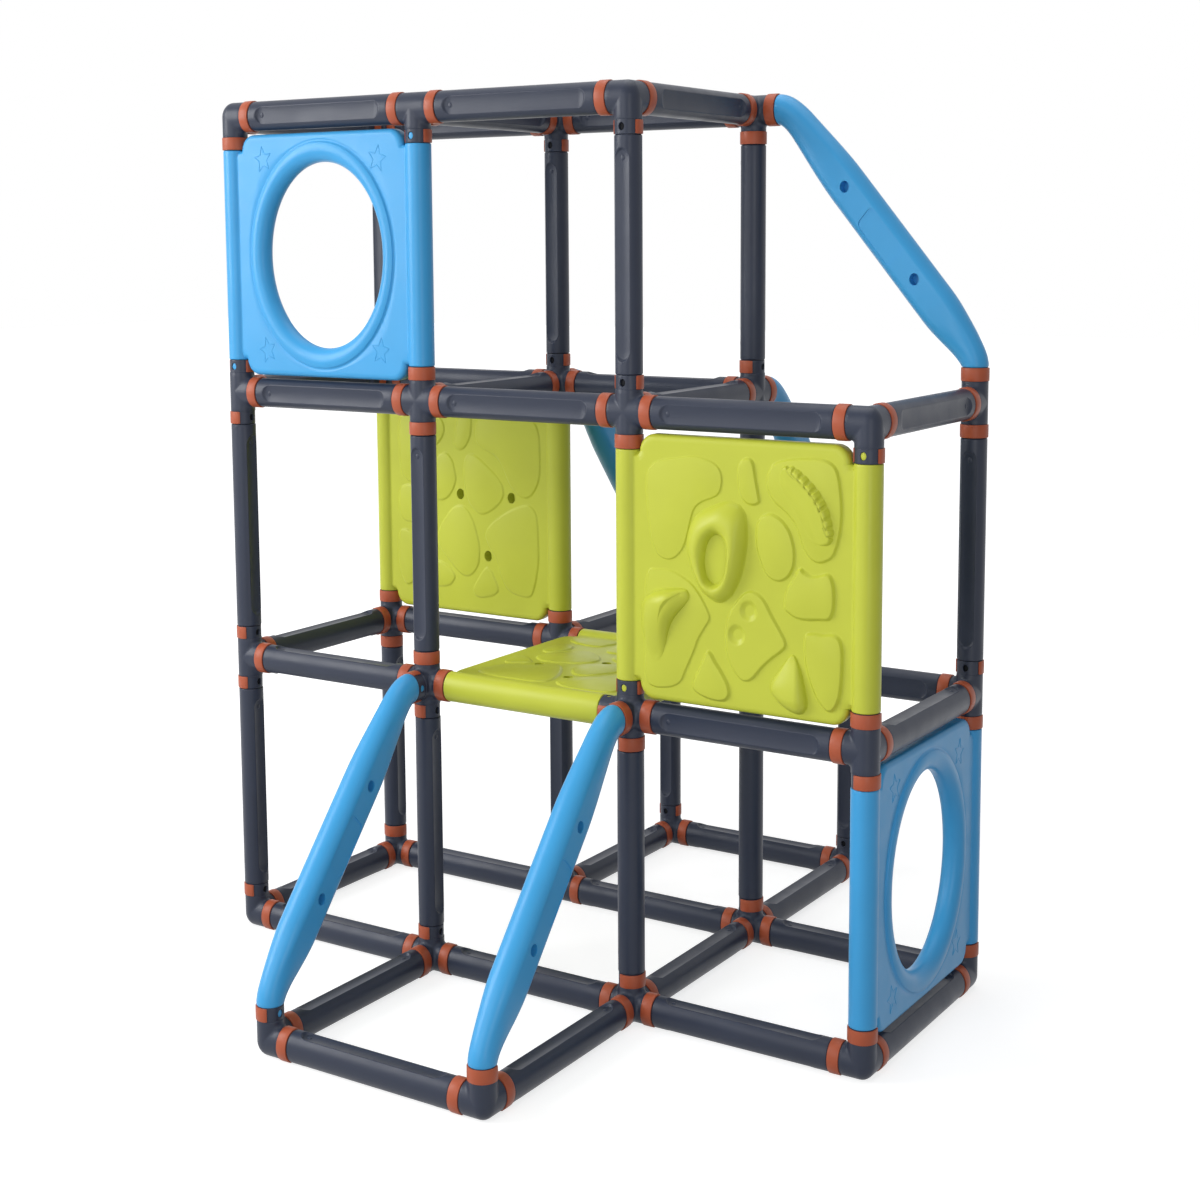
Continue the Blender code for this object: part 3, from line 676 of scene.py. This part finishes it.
def crawl_shape():
    # The sheet with its rolled rim, once for both panels: across, depth and up
    sheet, mid = Skin(), BAY / 2
    # Outline of one corner, then mirrored to the whole sheet
    arc = [(CORNER_MID + CORNER * math.cos(a), START + RISE * math.sin(a))
           for a in np.radians(np.linspace(180, 270, 15))]
    side = [(SEAT, v) for v in np.linspace(mid, START, 24)]
    step = [(SEAT + s * MM, START) for s in (3, 6, 9)]
    bottom = [(u, CLEAR) for u in np.linspace(CORNER_MID, mid, 19)[1:]]
    piece = side + step + arc + bottom
    low = piece + [(BAY - u, v) for u, v in piece[-2::-1]]
    outline = np.array(low + [(u, BAY - v) for u, v in low[::-1]][1:-1])
    du, dv = outline[:, 0] - mid, outline[:, 1] - mid

    def ellipse(grow):
        a, b = HOLE_A + grow, HOLE_B + grow
        phi = np.arctan2(dv / b, du / a)
        return np.stack([mid + a * np.cos(phi), mid + b * np.sin(phi)], axis=1)

    front = [(ellipse(RIM_R * (1 - math.cos(a))), RIM_R * math.sin(a))
             for a in np.radians(np.linspace(0, RIM_ANGLE, 17))]
    front += [(ellipse(grow * MM), depth * MM) for grow, depth in GROOVE]
    base = front[-1][0]
    room = np.linalg.norm(outline - base, axis=1)
    rim = np.minimum(16 * MM, 0.9 * room)
    far = [rim + (room - rim) * t for t in (0.75, 0.5, 0.25)]
    far += [rim * d / 16 for d in (16, 13, 10.6, 9.2, 8, 6.8, 5.6, 4.4, 3.2, 2.2, 1.4, 0.8, 0.3, 0)]
    for d in far:
        p = outline + (base - outline) * (d / room)[:, None]
        front.append((p, sheet_height(p[:, 0], p[:, 1])))
    loops = [lay(p, h - SLAB) for p, h in front]
    loops += [lay(p, h - SLAB, 1) for p, h in front[:0:-1]]
    sheet.grid(loops, caps=False, round_trip=True)
    for *spot, turn in STARS:
        for face in (-1, 1):
            ridge(sheet, star(spot * DRAWN, turn), 2.2 * MM, 0.6 * MM, face)
    return sheet


def form(*numbers):
    # Points across and up, in millimetres on a sheet of 400 by 474
    return np.array(numbers, float).reshape(-1, 2)


# Climbing panels: height and outline of each raised shape
PLATEAUS = [
    (2.2, form(58, 402, 97, 410, 126, 413, 156, 405, 168, 392, 170, 375, 164, 359, 151, 351, 136, 345,
    124, 335, 117, 317, 109, 287, 101, 269, 89, 257, 75, 253, 60, 259, 50, 277, 44, 307, 40, 347,
    40, 382)),
    (4.0, form(207, 414, 217, 415, 223, 407, 227, 387, 232, 362, 233, 352, 226, 347, 217, 347, 207, 352,
    201, 363, 198, 382, 198, 402)),
    (4.0, form(256, 335, 273, 325, 285, 307, 291, 282, 289, 259, 279, 243, 264, 237, 248, 243, 238, 259,
    230, 282, 228, 307, 234, 327, 246, 335)),
    (4.0, form(252, 405, 264, 413, 283, 418, 313, 421, 337, 420, 352, 413, 360, 399, 365, 367, 366, 337,
    362, 307, 354, 283, 342, 273, 330, 270, 318, 274, 307, 287, 299, 307, 289, 327, 275, 341, 260, 352,
    250, 365, 245, 382)),
    (5.5, form(300, 259, 308, 254, 318, 250, 330, 251, 342, 255, 350, 251, 355, 237, 356, 217, 354, 199,
    347, 188, 332, 186, 313, 184, 296, 185, 283, 191, 275, 199, 278, 222, 289, 242)),
    (2.6, form(43, 233, 58, 237, 82, 237, 102, 229, 119, 219, 134, 202, 146, 182, 150, 169, 142, 155,
    131, 137, 121, 112, 109, 87, 101, 69, 89, 59, 72, 54, 53, 53, 40, 61, 36, 87, 35, 137, 36, 197)),
    (4.0, form(222, 218, 234, 213, 244, 203, 256, 183, 268, 165, 277, 149, 277, 140, 269, 131, 256, 121,
    239, 105, 224, 87, 213, 81, 203, 83, 191, 95, 181, 115, 177, 137, 178, 162, 187, 187, 200, 205,
    211, 215)),
    (5.0, form(146, 119, 152, 117, 160, 105, 170, 92, 180, 76, 184, 64, 183, 54, 176, 47, 165, 45, 150, 46,
    135, 50, 124, 56, 121, 64, 125, 77, 133, 92, 140, 108)),
    (5.5, form(311, 163, 322, 166, 337, 165, 354, 167, 364, 162, 369, 149, 370, 127, 369, 102, 366, 77,
    360, 61, 352, 53, 342, 55, 330, 69, 320, 89, 313, 109, 309, 132, 308, 152)),
]
DIMPLED = 6                 # the plateau with the two finger dimples
DIMPLES = [(217, 188), (197, 150)]
DIMPLE_R, DIMPLE_DEEP = 14.5 * MM, 5.0      # the depth in millimetres
BACK_HOLES = [(216, 259), (98, 259), (153, 145)]
BACK_HOLE_R = 8.6 * MM
CELL = 7.0 * MM             # spacing of the sheet's points
BACK_RELIEF = [
    form(36, 385, 33, 350, 33, 312, 38, 290, 50, 270, 62, 263, 75, 264, 88, 272, 100, 285, 108, 300, 116, 316,
    126, 331, 140, 341, 155, 347, 168, 353, 176, 364, 177, 380, 173, 398, 160, 410, 130, 415, 90, 413,
    50, 405),
    form(188, 400, 190, 376, 197, 358, 207, 347, 217, 344, 226, 348, 229, 358, 226, 372, 222, 390, 219, 405,
    211, 413, 199, 414, 191, 410),
    form(228, 300, 226, 286, 232, 269, 243, 254, 257, 246, 271, 247, 283, 255, 290, 270, 289, 288, 283, 305,
    274, 320, 262, 331, 250, 335, 240, 329, 232, 317),
    form(252, 383, 257, 366, 267, 354, 283, 342, 297, 328, 307, 308, 315, 291, 325, 280, 338, 277, 348, 284,
    356, 300, 360, 330, 361, 370, 357, 395, 348, 408, 330, 414, 300, 413, 275, 408, 260, 400),
    form(290, 248, 300, 258, 315, 266, 332, 268, 350, 266, 360, 258, 363, 240, 361, 216, 352, 201, 335, 198,
    310, 198, 293, 203, 284, 214, 284, 232),
    form(60, 247, 85, 241, 105, 232, 125, 220, 145, 205, 155, 193, 157, 182, 152, 170, 144, 157, 135, 145,
    128, 130, 121, 108, 110, 90, 97, 81, 80, 77, 62, 76, 53, 82, 47, 97, 42, 118, 38, 145, 38, 180,
    39, 210, 44, 235),
    form(218, 236, 232, 231, 245, 219, 256, 205, 265, 190, 270, 175, 268, 161, 261, 149, 250, 138, 236, 124,
    222, 111, 207, 104, 194, 106, 184, 115, 176, 127, 173, 143, 173, 162, 177, 181, 185, 205, 195, 223,
    205, 233),
    form(155, 123, 163, 117, 173, 104, 182, 90, 187, 80, 185, 71, 177, 66, 165, 66, 150, 69, 138, 74, 131, 81,
    132, 91, 138, 103, 146, 117),
    form(318, 165, 335, 176, 350, 181, 361, 177, 366, 160, 366, 135, 365, 111, 358, 88, 347, 75, 335, 79,
    324, 95, 317, 118, 314, 145),
    form(195, 334, 203, 327, 206, 312, 206, 290, 202, 268, 195, 247, 183, 233, 167, 225, 151, 229, 135, 239,
    122, 251, 116, 265, 119, 282, 132, 298, 150, 313, 168, 326, 182, 334),
    form(238, 110, 232, 98, 240, 85, 252, 80, 268, 78, 285, 78, 297, 84, 301, 96, 298, 110, 288, 121,
    272, 126, 254, 121),
]
RING = form(185, 347, 200, 342, 209, 329, 212, 307, 211, 282, 206, 252, 198, 229, 188, 211, 175, 200,
    164, 197, 148, 203, 134, 215, 122, 237, 115, 259, 111, 282, 115, 302, 124, 319, 138, 331, 156, 339,
    170, 345)
RING_OPENING = form(159, 297, 170, 294, 179, 279, 181, 259, 177, 240, 168, 227, 156, 223, 146, 231, 141, 249,
    142, 269, 148, 287)
RING_HIGH, RING_TILT, RING_CREST = 17.5 * MM, 4.5 * MM, 0.62
EAR = form(269, 405, 278, 411, 290, 410, 301, 404, 318, 390, 332, 375, 344, 357, 352, 337, 356, 317, 355, 305,
    348, 296, 336, 293, 322, 295, 313, 303, 303, 319, 293, 337, 281, 355, 269, 371, 264, 387)
EAR_NOTCHES = form(283, 410, 294, 406, 306, 398, 317, 389, 326, 378, 335, 365, 342, 352, 349, 337, 353, 323,
    356, 309)
EAR_FROM, EAR_WAY, EAR_SPAN = (270.0, 390.0), (0.838, 0.546), 46.0      # its top rises that way
EAR_LOW, EAR_RISE = 4.5, 14.5
NOTCH_HALF = 2.2            # in points of its outline
COMMA = form(108, 211, 114, 206, 115, 197, 106, 184, 95, 172, 85, 158, 78, 140, 73, 120, 67, 103, 58, 93,
    50, 94, 43, 104, 37, 122, 32, 145, 31, 165, 34, 184, 45, 197, 62, 205, 85, 210)
COMMA_CREST = [(103, 204, 10), (95, 201, 18), (84, 196, 23), (75, 184, 23), (69, 165, 19),
               (65, 145, 14), (60, 120, 7), (57, 104, 3)]
WEDGE = form(291, 128, 297, 118, 303, 102, 308, 84, 312, 64, 311, 52, 304, 44, 294, 43, 280, 48, 265, 58,
    254, 71, 254, 82, 264, 98, 276, 114, 285, 126)
WEDGE_CREST = [(292, 121, 4), (294, 104, 9), (296, 84, 14), (297, 65, 16)]
HOLD_FOOT = 2.4 * MM        # height at which a hold leaves the sheet's soft flare
FLARE = [(1.045, -1.0 * MM), (1.03, 0.3 * MM), (1.012, 1.5 * MM)]
LOW_RELIEF = [(-2.4, -1.0), (-2.4, 0.0), (-1.8, 0.1), (-1.1, 0.4), (-0.4, 1.0), (0.4, 1.6),
              (1.2, 2.0), (2.2, 2.2)]


def scaled(loop, factor):
    middle = loop.mean(axis=0)
    return middle + (loop - middle) * factor


def step_up(high):
    # Moulded step: soft foot, sloping wall, soft rim
    foot, rim = -0.25 * high - 0.4, 0.5 * high + 0.8
    return [(foot, -1.0), (foot, 0.0)] + [(foot + (rim - foot) * t, high * smoothstep(t))
                                          for t in np.linspace(0.1, 1, 10)]


def bump(skin, outline, crest):
    # Hold that rises from its outline to a curved crest
    loop = smooth_loop(outline, 96) * DRAWN
    line = np.array(crest, float) * np.array([*DRAWN, MM])
    line = sample(np.linspace(0, len(line) - 1, 60), range(len(line)), line)
    near = np.argmin(np.linalg.norm(loop[:, None, :] - line[None, :, :2], axis=2), axis=1)
    top = line[near]
    for k in range(18):
        top = (np.roll(top, 1, axis=0) + 2 * top + np.roll(top, -1, axis=0)) / 4
    rows = [lay(scaled(loop, f), h) for f, h in FLARE]
    for s in (0, 0.02, 0.05, 0.1, 0.17, 0.26, 0.36, 0.48, 0.6, 0.72, 0.84, 0.94, 1.0):
        rise = (1 - (1 - s) ** 2) ** 0.65
        rows.append(lay(loop * (1 - s) + top[:, :2] * s, HOLD_FOOT + (top[:, 2] - HOLD_FOOT) * rise))
    skin.grid(rows)


def ring(skin):
    outer = smooth_loop(RING, 96) * DRAWN
    opening = smooth_loop(RING_OPENING, 96) * DRAWN
    # Each point of the opening faces one of the outline at the same angle
    middle, inner = outer.mean(axis=0), opening.mean(axis=0)
    want = np.arctan2(*(outer - middle).T[::-1])
    have = np.arctan2(*(opening - inner).T[::-1])
    order = np.argsort(have)
    turns = np.concatenate([have[order] - 2 * math.pi, have[order], have[order] + 2 * math.pi])
    opening = sample(want, turns, np.vstack([opening[order]] * 3))
    rows = [lay(scaled(outer, f), h) for f, h in FLARE]
    crest = RING_HIGH + RING_TILT * np.cos(want - 0.35)
    for s in (0, .02, .05, .1, .16, .23, .31, .4, .5, .62, .7, .78, .85, .91, .95, .98, 1):
        if s <= RING_CREST:
            h = HOLD_FOOT + (crest - HOLD_FOOT) * math.sin(math.pi / 2 * s / RING_CREST) ** 0.8
        else:
            share = (s - RING_CREST) / (1 - RING_CREST)
            h = (crest + MM) * max(math.cos(math.pi / 2 * share), 0.0) ** 0.7 - MM
        rows.append(lay(outer * (1 - s) + opening * s, h))
    skin.grid(rows, caps=False, round_trip=True)


def ear(skin):
    # Flat tilted top, with notches along the high side
    loop = smooth_loop(EAR, 240) * DRAWN
    normal = inward(loop)
    notch = np.zeros(len(loop))
    for spot in EAR_NOTCHES:
        nearest = np.argmin(np.linalg.norm(loop - spot * DRAWN, axis=1))
        away = np.abs(np.arange(len(loop)) - nearest)
        notch = np.maximum(notch, np.exp(-(away / NOTCH_HALF) ** 4))

    def top(p):
        tilt = np.clip((p / DRAWN - EAR_FROM) @ EAR_WAY / EAR_SPAN, 0.0, 1.05)
        return (EAR_LOW + EAR_RISE * tilt) * MM

    rows = []
    high = top(loop)
    for t, share in ((-0.2, -0.2), (-0.2, 0.0), (-0.08, 0.03), (0.02, 0.1), (0.12, 0.25),
                     (0.3, 0.5), (0.48, 0.74), (0.62, 0.88), (0.78, 0.97), (1.0, 1.0)):
        inset = t * (3.0 * MM + 0.42 * high) + 2.6 * MM * smoothstep(1.8 * share) * notch
        p = loop + normal * inset[:, None]
        rows.append(lay(p, top(p) * share))
    for factor in (0.65, 0.35, 0.08):
        p = scaled(loop, factor)
        rows.append(lay(p, top(p)))
    skin.grid(rows)


def tool_at(spot, radius, squash, profile, sides):
    # Round tool across the sheet; the profile gives the share of the radius, and the depth
    x, z = spot * DRAWN
    a, tool = circle(sides), Skin()
    tool.grid([np.stack([x + radius * f * np.cos(a), np.full(sides, y),
                         z + radius * squash * f * np.sin(a)], axis=1) for f, y in profile])
    return tool


def climb_shape():
    # The sheet with its relief, once for its three panels: across, depth and up
    skin, sheet = Skin(), Skin()
    near = np.array([0, 0.3, 0.9, 1.8, 2.9, 4.2, 5.8, 7.8, 10.0]) * MM
    ends = np.concatenate([CLEAR + near, START - np.array([0, 0.02, 1, 3, 6, 9]) * MM])
    v = np.sort(np.concatenate([ends, np.arange(CLEAR + 16 * MM, BAY - CLEAR - 15 * MM, CELL),
                                BAY - ends]))
    fold = np.minimum(v, BAY - v)
    low = np.where(fold >= START - 1e-9, SEAT, CORNER_MID - CORNER
                   * np.sqrt(np.maximum(1 - ((START - fold) / RISE) ** 2, 0.0)))
    inner = np.linspace(0, 1, 52)[1:-1]
    U = np.array([np.concatenate([m + near, m + near[-1] + inner * (BAY - 2 * m - 2 * near[-1]),
                                  BAY - m - near[::-1]]) for m in low])
    V = np.repeat(v[:, None], U.shape[1], axis=1)
    H = sheet_height(U, V)
    rows, cols = U.shape
    base = sheet.grid(np.stack([U, -H, V], axis=-1), wrap=False, caps=False)
    sheet.grid(np.stack([U, H, V], axis=-1), wrap=False, caps=False)
    border = ([(0, c) for c in range(cols)] + [(r, cols - 1) for r in range(1, rows)]
              + [(rows - 1, c) for c in range(cols - 2, -1, -1)]
              + [(r, 0) for r in range(rows - 2, 0, -1)])
    index = [base + r * cols + c for r, c in border]
    for a, b in zip(index, index[1:] + index[:1]):
        sheet.faces.append((a, b, b + rows * cols, a + rows * cols))
    drill = [(1, SLAB - 20 * MM), (1, SLAB + 3 * MM)]
    skin.take(cut(sheet, [tool_at(spot, BACK_HOLE_R, 1, drill, 32) for spot in BACK_HOLES]))
    for n, (high, outline) in enumerate(PLATEAUS):
        loop = smooth_loop(outline, 110) * DRAWN
        if n == DIMPLED:
            part, normal = Skin(), inward(loop)
            rows = [lay(loop + normal * i * MM, h * MM) for i, h in step_up(high)]
            top = loop + normal * step_up(high)[-1][0] * MM
            part.grid(rows + [lay(scaled(top, f), high * MM) for f in np.arange(0.94, 0.02, -0.06)])
            bowl = [(1.12, -6.0), (1.12, -0.35), (1.0, 0.3)]
            bowl += [(f, DIMPLE_DEEP * (1 - f ** 2.4)) for f in
                     (0.93, 0.85, 0.75, 0.64, 0.52, 0.4, 0.28, 0.16, 0.05)]
            bowl = [(f, -SLAB - high * MM + deep * MM) for f, deep in bowl]
            skin.take(cut(part, [tool_at(spot, DIMPLE_R, 0.9, bowl, 48) for spot in DIMPLES]))
        else:
            raised(skin, loop, step_up(high))
    for outline in BACK_RELIEF:
        raised(skin, smooth_loop(outline, 110) * DRAWN, LOW_RELIEF, face=1)
    ring(skin)
    ear(skin)
    bump(skin, COMMA, COMMA_CREST)
    bump(skin, WEDGE, WEDGE_CREST)
    return skin


SHAPES = {"crawl": (crawl_shape(), BLUE, 35), "climb": (climb_shape(), GREEN, 33)}


# Braces

BRACE_LEAD, BRACE_TAIL = 20.5 * MM, 16.5 * MM / STRETCH
# Half of the cross-section, across the run and sideways: flat sides between rounded noses
BRACE_SHAPE = [(31.5, 0), (30.8, 6), (28.8, 12), (25.8, 17), (22.3, 20.5), (19, 22.4), (15.5, 23),
               (0, 23.1)]
BRACE_SHAPE += [(-a, s) for a, s in BRACE_SHAPE[-2::-1]]
# Which knot, and how far before and after it the bend reaches
BENDS = [(1, 19.0 * MM, 40.0 * MM), (2, 46.0 * MM, 12.5 * MM)]
SWELL_TOP, SWELL_FOOT = 0.34, 0.21      # shares of the run in which the tube swells to it
BRACE_HOLES = [(179, -130), (303, -279)]
BRACE_HOLE_R = 8.2 * MM
WEB_HALF = 5.0 * MM         # half of the web that stays between two blind holes
OUTSIDE = 40.0 * MM         # beyond the brace's side
RECESS_AT, RECESS_LONG, RECESS_WIDE = (242, -211), 82.0 * MM, 35.0 * MM
RECESS_CORNER, RECESS_FLOOR = 9.0 * MM, (23.1 - 1.2) * MM


def brace(name, hub, step):
    out, up = np.array(step, float), np.array(UP, float)
    side, origin = np.cross(out, up), place(hub)
    knots = np.array([(REACH + TUBE_GAP, 0.0), (REACH + BRACE_LEAD, 0.0),
                      (BAY, -(BAY - REACH_UP - BRACE_TAIL)), (BAY, -BAY + REACH_UP + TUBE_GAP)])
    # Rounded polyline: a quadratic arc at each of the two bends
    path = [knots[0]]
    for k, cut_in, cut_out in BENDS:
        a = knots[k] + unit(knots[k - 1] - knots[k]) * cut_in
        b = knots[k] + unit(knots[k + 1] - knots[k]) * cut_out
        for t in np.linspace(0, 1, 16):
            path.append((1 - t) ** 2 * a + 2 * t * (1 - t) * knots[k] + t * t * b)
    path = np.array(path + [knots[3]])
    run = run_along(path)
    total = run[-1]
    at = np.concatenate([[0, 0.6 * MM, 1.4 * MM], np.linspace(3 * MM, total - 3 * MM, 110),
                         [total - 1.4 * MM, total - 0.6 * MM, total]])
    centre = sample(at, run, path)
    tangent = np.gradient(centre, at, axis=0)
    tangent /= np.linalg.norm(tangent, axis=1)[:, None]
    share = at / total
    swell = smoothstep(share / SWELL_TOP) * smoothstep((1 - share) / SWELL_FOOT)
    ends = np.minimum(at, total - at)
    round_off = np.where(ends < 2.0 * MM, 0.8 * MM * (1 - np.sqrt(np.clip(ends / (2.0 * MM), 0, 1))), 0)
    angles = circle(80)
    section = smooth_loop(BRACE_SHAPE + [(a, -s) for a, s in BRACE_SHAPE[-2:0:-1]], 400) * MM
    where = np.arctan2(section[:, 1], section[:, 0]) % (2 * math.pi)
    order = np.argsort(where)
    size = np.interp(angles, where[order], np.hypot(*section.T)[order], period=2 * math.pi)
    rows = []
    for k in range(len(at)):
        r = TUBE_R + (size - TUBE_R) * swell[k] - round_off[k]
        across = out * -tangent[k, 1] + up * tangent[k, 0]
        rows.append(origin + out * centre[k, 0] + up * centre[k, 1]
                    + across * (r * np.cos(angles))[:, None] + side * (r * np.sin(angles))[:, None])
    body = Skin()
    body.grid(rows)

    def plug(points, low, high):
        tool = Skin()
        tool.grid([origin + out * points[:, :1] + up * points[:, 1:] + side * s for s in (low, high)])
        return tool

    rim = np.stack([np.cos(circle(40)), np.sin(circle(40))], axis=1)
    tools = [plug(spot * DRAWN + rim * BRACE_HOLE_R, low, high)
             for spot in BRACE_HOLES for low, high in ((-OUTSIDE, -WEB_HALF), (WEB_HALF, OUTSIDE))]
    along = unit(knots[2] - knots[1])
    away = np.array([-along[1], along[0]])
    edge = []
    for a in np.radians(np.arange(0, 360, 7.5) + 3.75):
        x, y = (math.copysign(size / 2 - RECESS_CORNER, way) + RECESS_CORNER * way
                for size, way in ((RECESS_LONG, math.cos(a)), (RECESS_WIDE, math.sin(a))))
        edge.append(RECESS_AT * DRAWN + along * x + away * y)
    for low, high in ((RECESS_FLOOR, 30 * MM), (-30 * MM, -RECESS_FLOOR)):
        tools.append(plug(np.array(edge), low, high))
    skin = Skin()
    skin.take(cut(body, tools))
    dress(skin.make(name + "_moulded", BLUE, sharp=30), BLUE, name)


# Build all

def flute_side(axis, hub):
    # The side that a level tube's flute looks to
    col, row, level = hub
    if axis == 0:
        return FRONT if level == 3 or (level == 2 and row != 2) or (level == 1 and col == 2) else UP
    return RIGHT if level == 3 or (level == 2 and col in (0, 3)) else UP


# The side that a post's flute looks to, where that isn't the front
POST_SIDES = {
    (0, 1, 0): RIGHT, (0, 1, 1): RIGHT, (1, 1, 0): RIGHT, (0, 2, 0): RIGHT,
    (2, 1, 0): LEFT, (2, 2, 0): LEFT, (2, 2, 1): LEFT, (2, 2, 2): LEFT,
}


catches = {"grey": Skin(), "blue": Skin(), "green": Skin()}
CATCH_DEEP = {"grey": 3.0, "blue": 1.4, "green": 1.4}   # below the collar, in millimetres
for level, row, first, last in RAILS:
    node = f"rail_l{level}_row{row}_{LETTERS[first]}{LETTERS[last]}"
    skin, ring_skin = Skin(), Skin()
    for col in range(first, last + 1):
        hub = (col, row, level)
        connector(skin, hub)
        if col < last:
            a, b = place(hub), place((col + 1, row, level))
            shift = np.array([REACH, 0, 0])
            tube(skin, b - shift, a + shift, flute_side(0, hub))
        for step, spigot in arms[hub].items():
            gap = gap_of(hub, step)
            clip(ring_skin, hub, step, gap)
            catch(catches[spigot], hub, step, gap, CATCH_DEEP[spigot])
    dress(skin.make(node + "_moulded", GREY), GREY, node)
    dress(ring_skin.make("clips_" + node, ORANGE, sharp=30), ORANGE)
# The catches in the grey collars take the near-black material: painted shade in those holes; blue and green
# ones keep their own colour
for spigot, skin in catches.items():
    dress(skin.make("catches_" + spigot, MATERIALS[spigot]), MATERIALS[spigot])


def straight(node, hub, way, side, flutes=2):
    skin, shift = Skin(), np.array(way) * reach(way)
    tube(skin, place(hub) + shift, place(add(hub, way)) - shift, side, flutes)
    dress(skin.make(node + "_moulded", GREY), GREY, node)


for level, col, row in CROSS:
    hub = (col, row, level)
    straight(f"cross_l{level}_{LETTERS[col]}{row}{row + 1}", hub, REAR, flute_side(1, hub))
for level, col, row in POSTS:
    hub = (col, row, level)
    side = POST_SIDES.get(hub, FRONT)
    straight(f"post_l{level}_{LETTERS[col]}{row}", hub, UP, side, 1 if side == LEFT else 2)
for name, kind, hub, right, up in PANELS:
    panel(name, *SHAPES[kind], hub, right, up)
for name, hub, step in BRACES:
    brace(name, hub, step)


# Stage, light and camera

WHITE = (1, 1, 1, 1)
FLOOR_HALF = 20.0                   # half of the floor's width, in metres
FLOOR_PALE, FLOOR_GLOW = 0.45, 0.74
FADE_NEAR, FADE_FAR = 0.9, 1.9      # from the middle, between which the floor turns all white


def seen_directly(tree):
    # 1 for what the camera sees, and what gloss or glass shows of the background
    path = shader_node(tree, "LightPath")
    last = path.outputs["Is Camera Ray"]
    for name in ("Is Glossy Ray", "Is Transmission Ray"):
        either = shader_node(tree, "Math")
        either.operation = "MAXIMUM"
        tree.links.new(last, either.inputs[0])
        wire(tree, (path, name, either, 1))
        last = either.outputs["Value"]
    return last


def floor_material():
    mat, tree, shader = new_material("floor_white")
    shader.inputs["Base Color"].default_value = (FLOOR_PALE, FLOOR_PALE, FLOOR_PALE, 1)
    shader.inputs["Roughness"].default_value = 0.9
    # The floor that is seen directly is white where no shadow falls, and far off all white
    where, away = shader_node(tree, "TexCoord"), shader_node(tree, "VectorMath")
    away.operation = "LENGTH"
    fade = shader_node(tree, "MapRange", From_Min=FADE_NEAR, From_Max=FADE_FAR,
                       To_Min=FLOOR_GLOW, To_Max=1.0)
    fade.interpolation_type = "SMOOTHSTEP"
    glow = shader_node(tree, "Math")
    glow.operation = "MULTIPLY"
    tree.links.new(seen_directly(tree), glow.inputs[0])
    white, both = shader_node(tree, "Emission", Color=WHITE), shader_node(tree, "AddShader")
    wire(tree, (where, "Object", away, 0), (away, "Value", fade, "Value"), (fade, "Result", glow, 1),
         (glow, "Value", white, "Strength"), (shader, "BSDF", both, 0), (white, "Emission", both, 1),
         (both, "Shader", tree.nodes["Material Output"], "Surface"))
    return mat


floor = Skin()
floor.put([(x * FLOOR_HALF, y * FLOOR_HALF, 0) for x, y in ((-1, -1), (1, -1), (1, 1), (-1, 1))])
floor.faces.append((0, 1, 2, 3))
floor.make("floor", floor_material(), place_it=lambda p: p)

world = bpy.data.worlds.new("studio")
bpy.context.scene.world = world
world.use_nodes = True
tree = world.node_tree
tree.nodes.clear()
white = shader_node(tree, "Background", Color=WHITE, Strength=1.0)
soft = shader_node(tree, "Background", Color=(0.96, 0.98, 1.0, 1), Strength=0.24)
mix = shader_node(tree, "MixShader")
tree.links.new(seen_directly(tree), mix.inputs["Fac"])
wire(tree, (soft, "Background", mix, 1), (white, "Background", mix, 2),
     (mix, "Shader", shader_node(tree, "OutputWorld"), "Surface"))


def aim(obj, x, y, z, spot):
    pose = Matrix((x, y, z)).transposed().to_4x4()
    pose.translation = spot
    obj.matrix_world = pose


def softbox(name, spot, target, width, height, watts):
    light = bpy.data.lights.new(name, "AREA")
    light.shape = "RECTANGLE"
    light.size, light.size_y = width, height
    light.energy = watts
    z = unit(np.array(spot) - np.array(target))
    x = unit(np.cross(UP, z)) if abs(z[2]) < 0.99 else np.array(RIGHT, float)
    aim(add_object(name, light), x, np.cross(z, x), z, spot)


softbox("key_right", (2.2, -2.42, 1.15), (0, 0, 1.1), 0.5, 2.2, 17)
softbox("panel_left", (-2.7, -2.3, 2.0), (0, 0, 0.7), 1.8, 2.2, 92)
softbox("front", (-0.3, -3.6, 1.5), (0, 0, 0.8), 2.0, 2.2, 34)
softbox("top", (0.0, 0.2, 4.2), (0, 0, 0.7), 3.0, 3.0, 62)

camera = bpy.data.cameras.new("camera")
camera.sensor_width = 36.0
camera.lens = 56.267
camera.shift_y = -0.11
camera.clip_end = 100.0
view = add_object("camera", camera)
across = unit((0.84193, 0.53955, -0.00591))
down = unit((0.06019, -0.10479, -0.99267))
ahead = unit((-0.53622, 0.83541, -0.12070))
aim(view, across, -down, -ahead, (1.7070, -2.6319, 1.2322))
bpy.context.scene.camera = view
bpy.context.scene.view_settings.view_transform = "Standard"
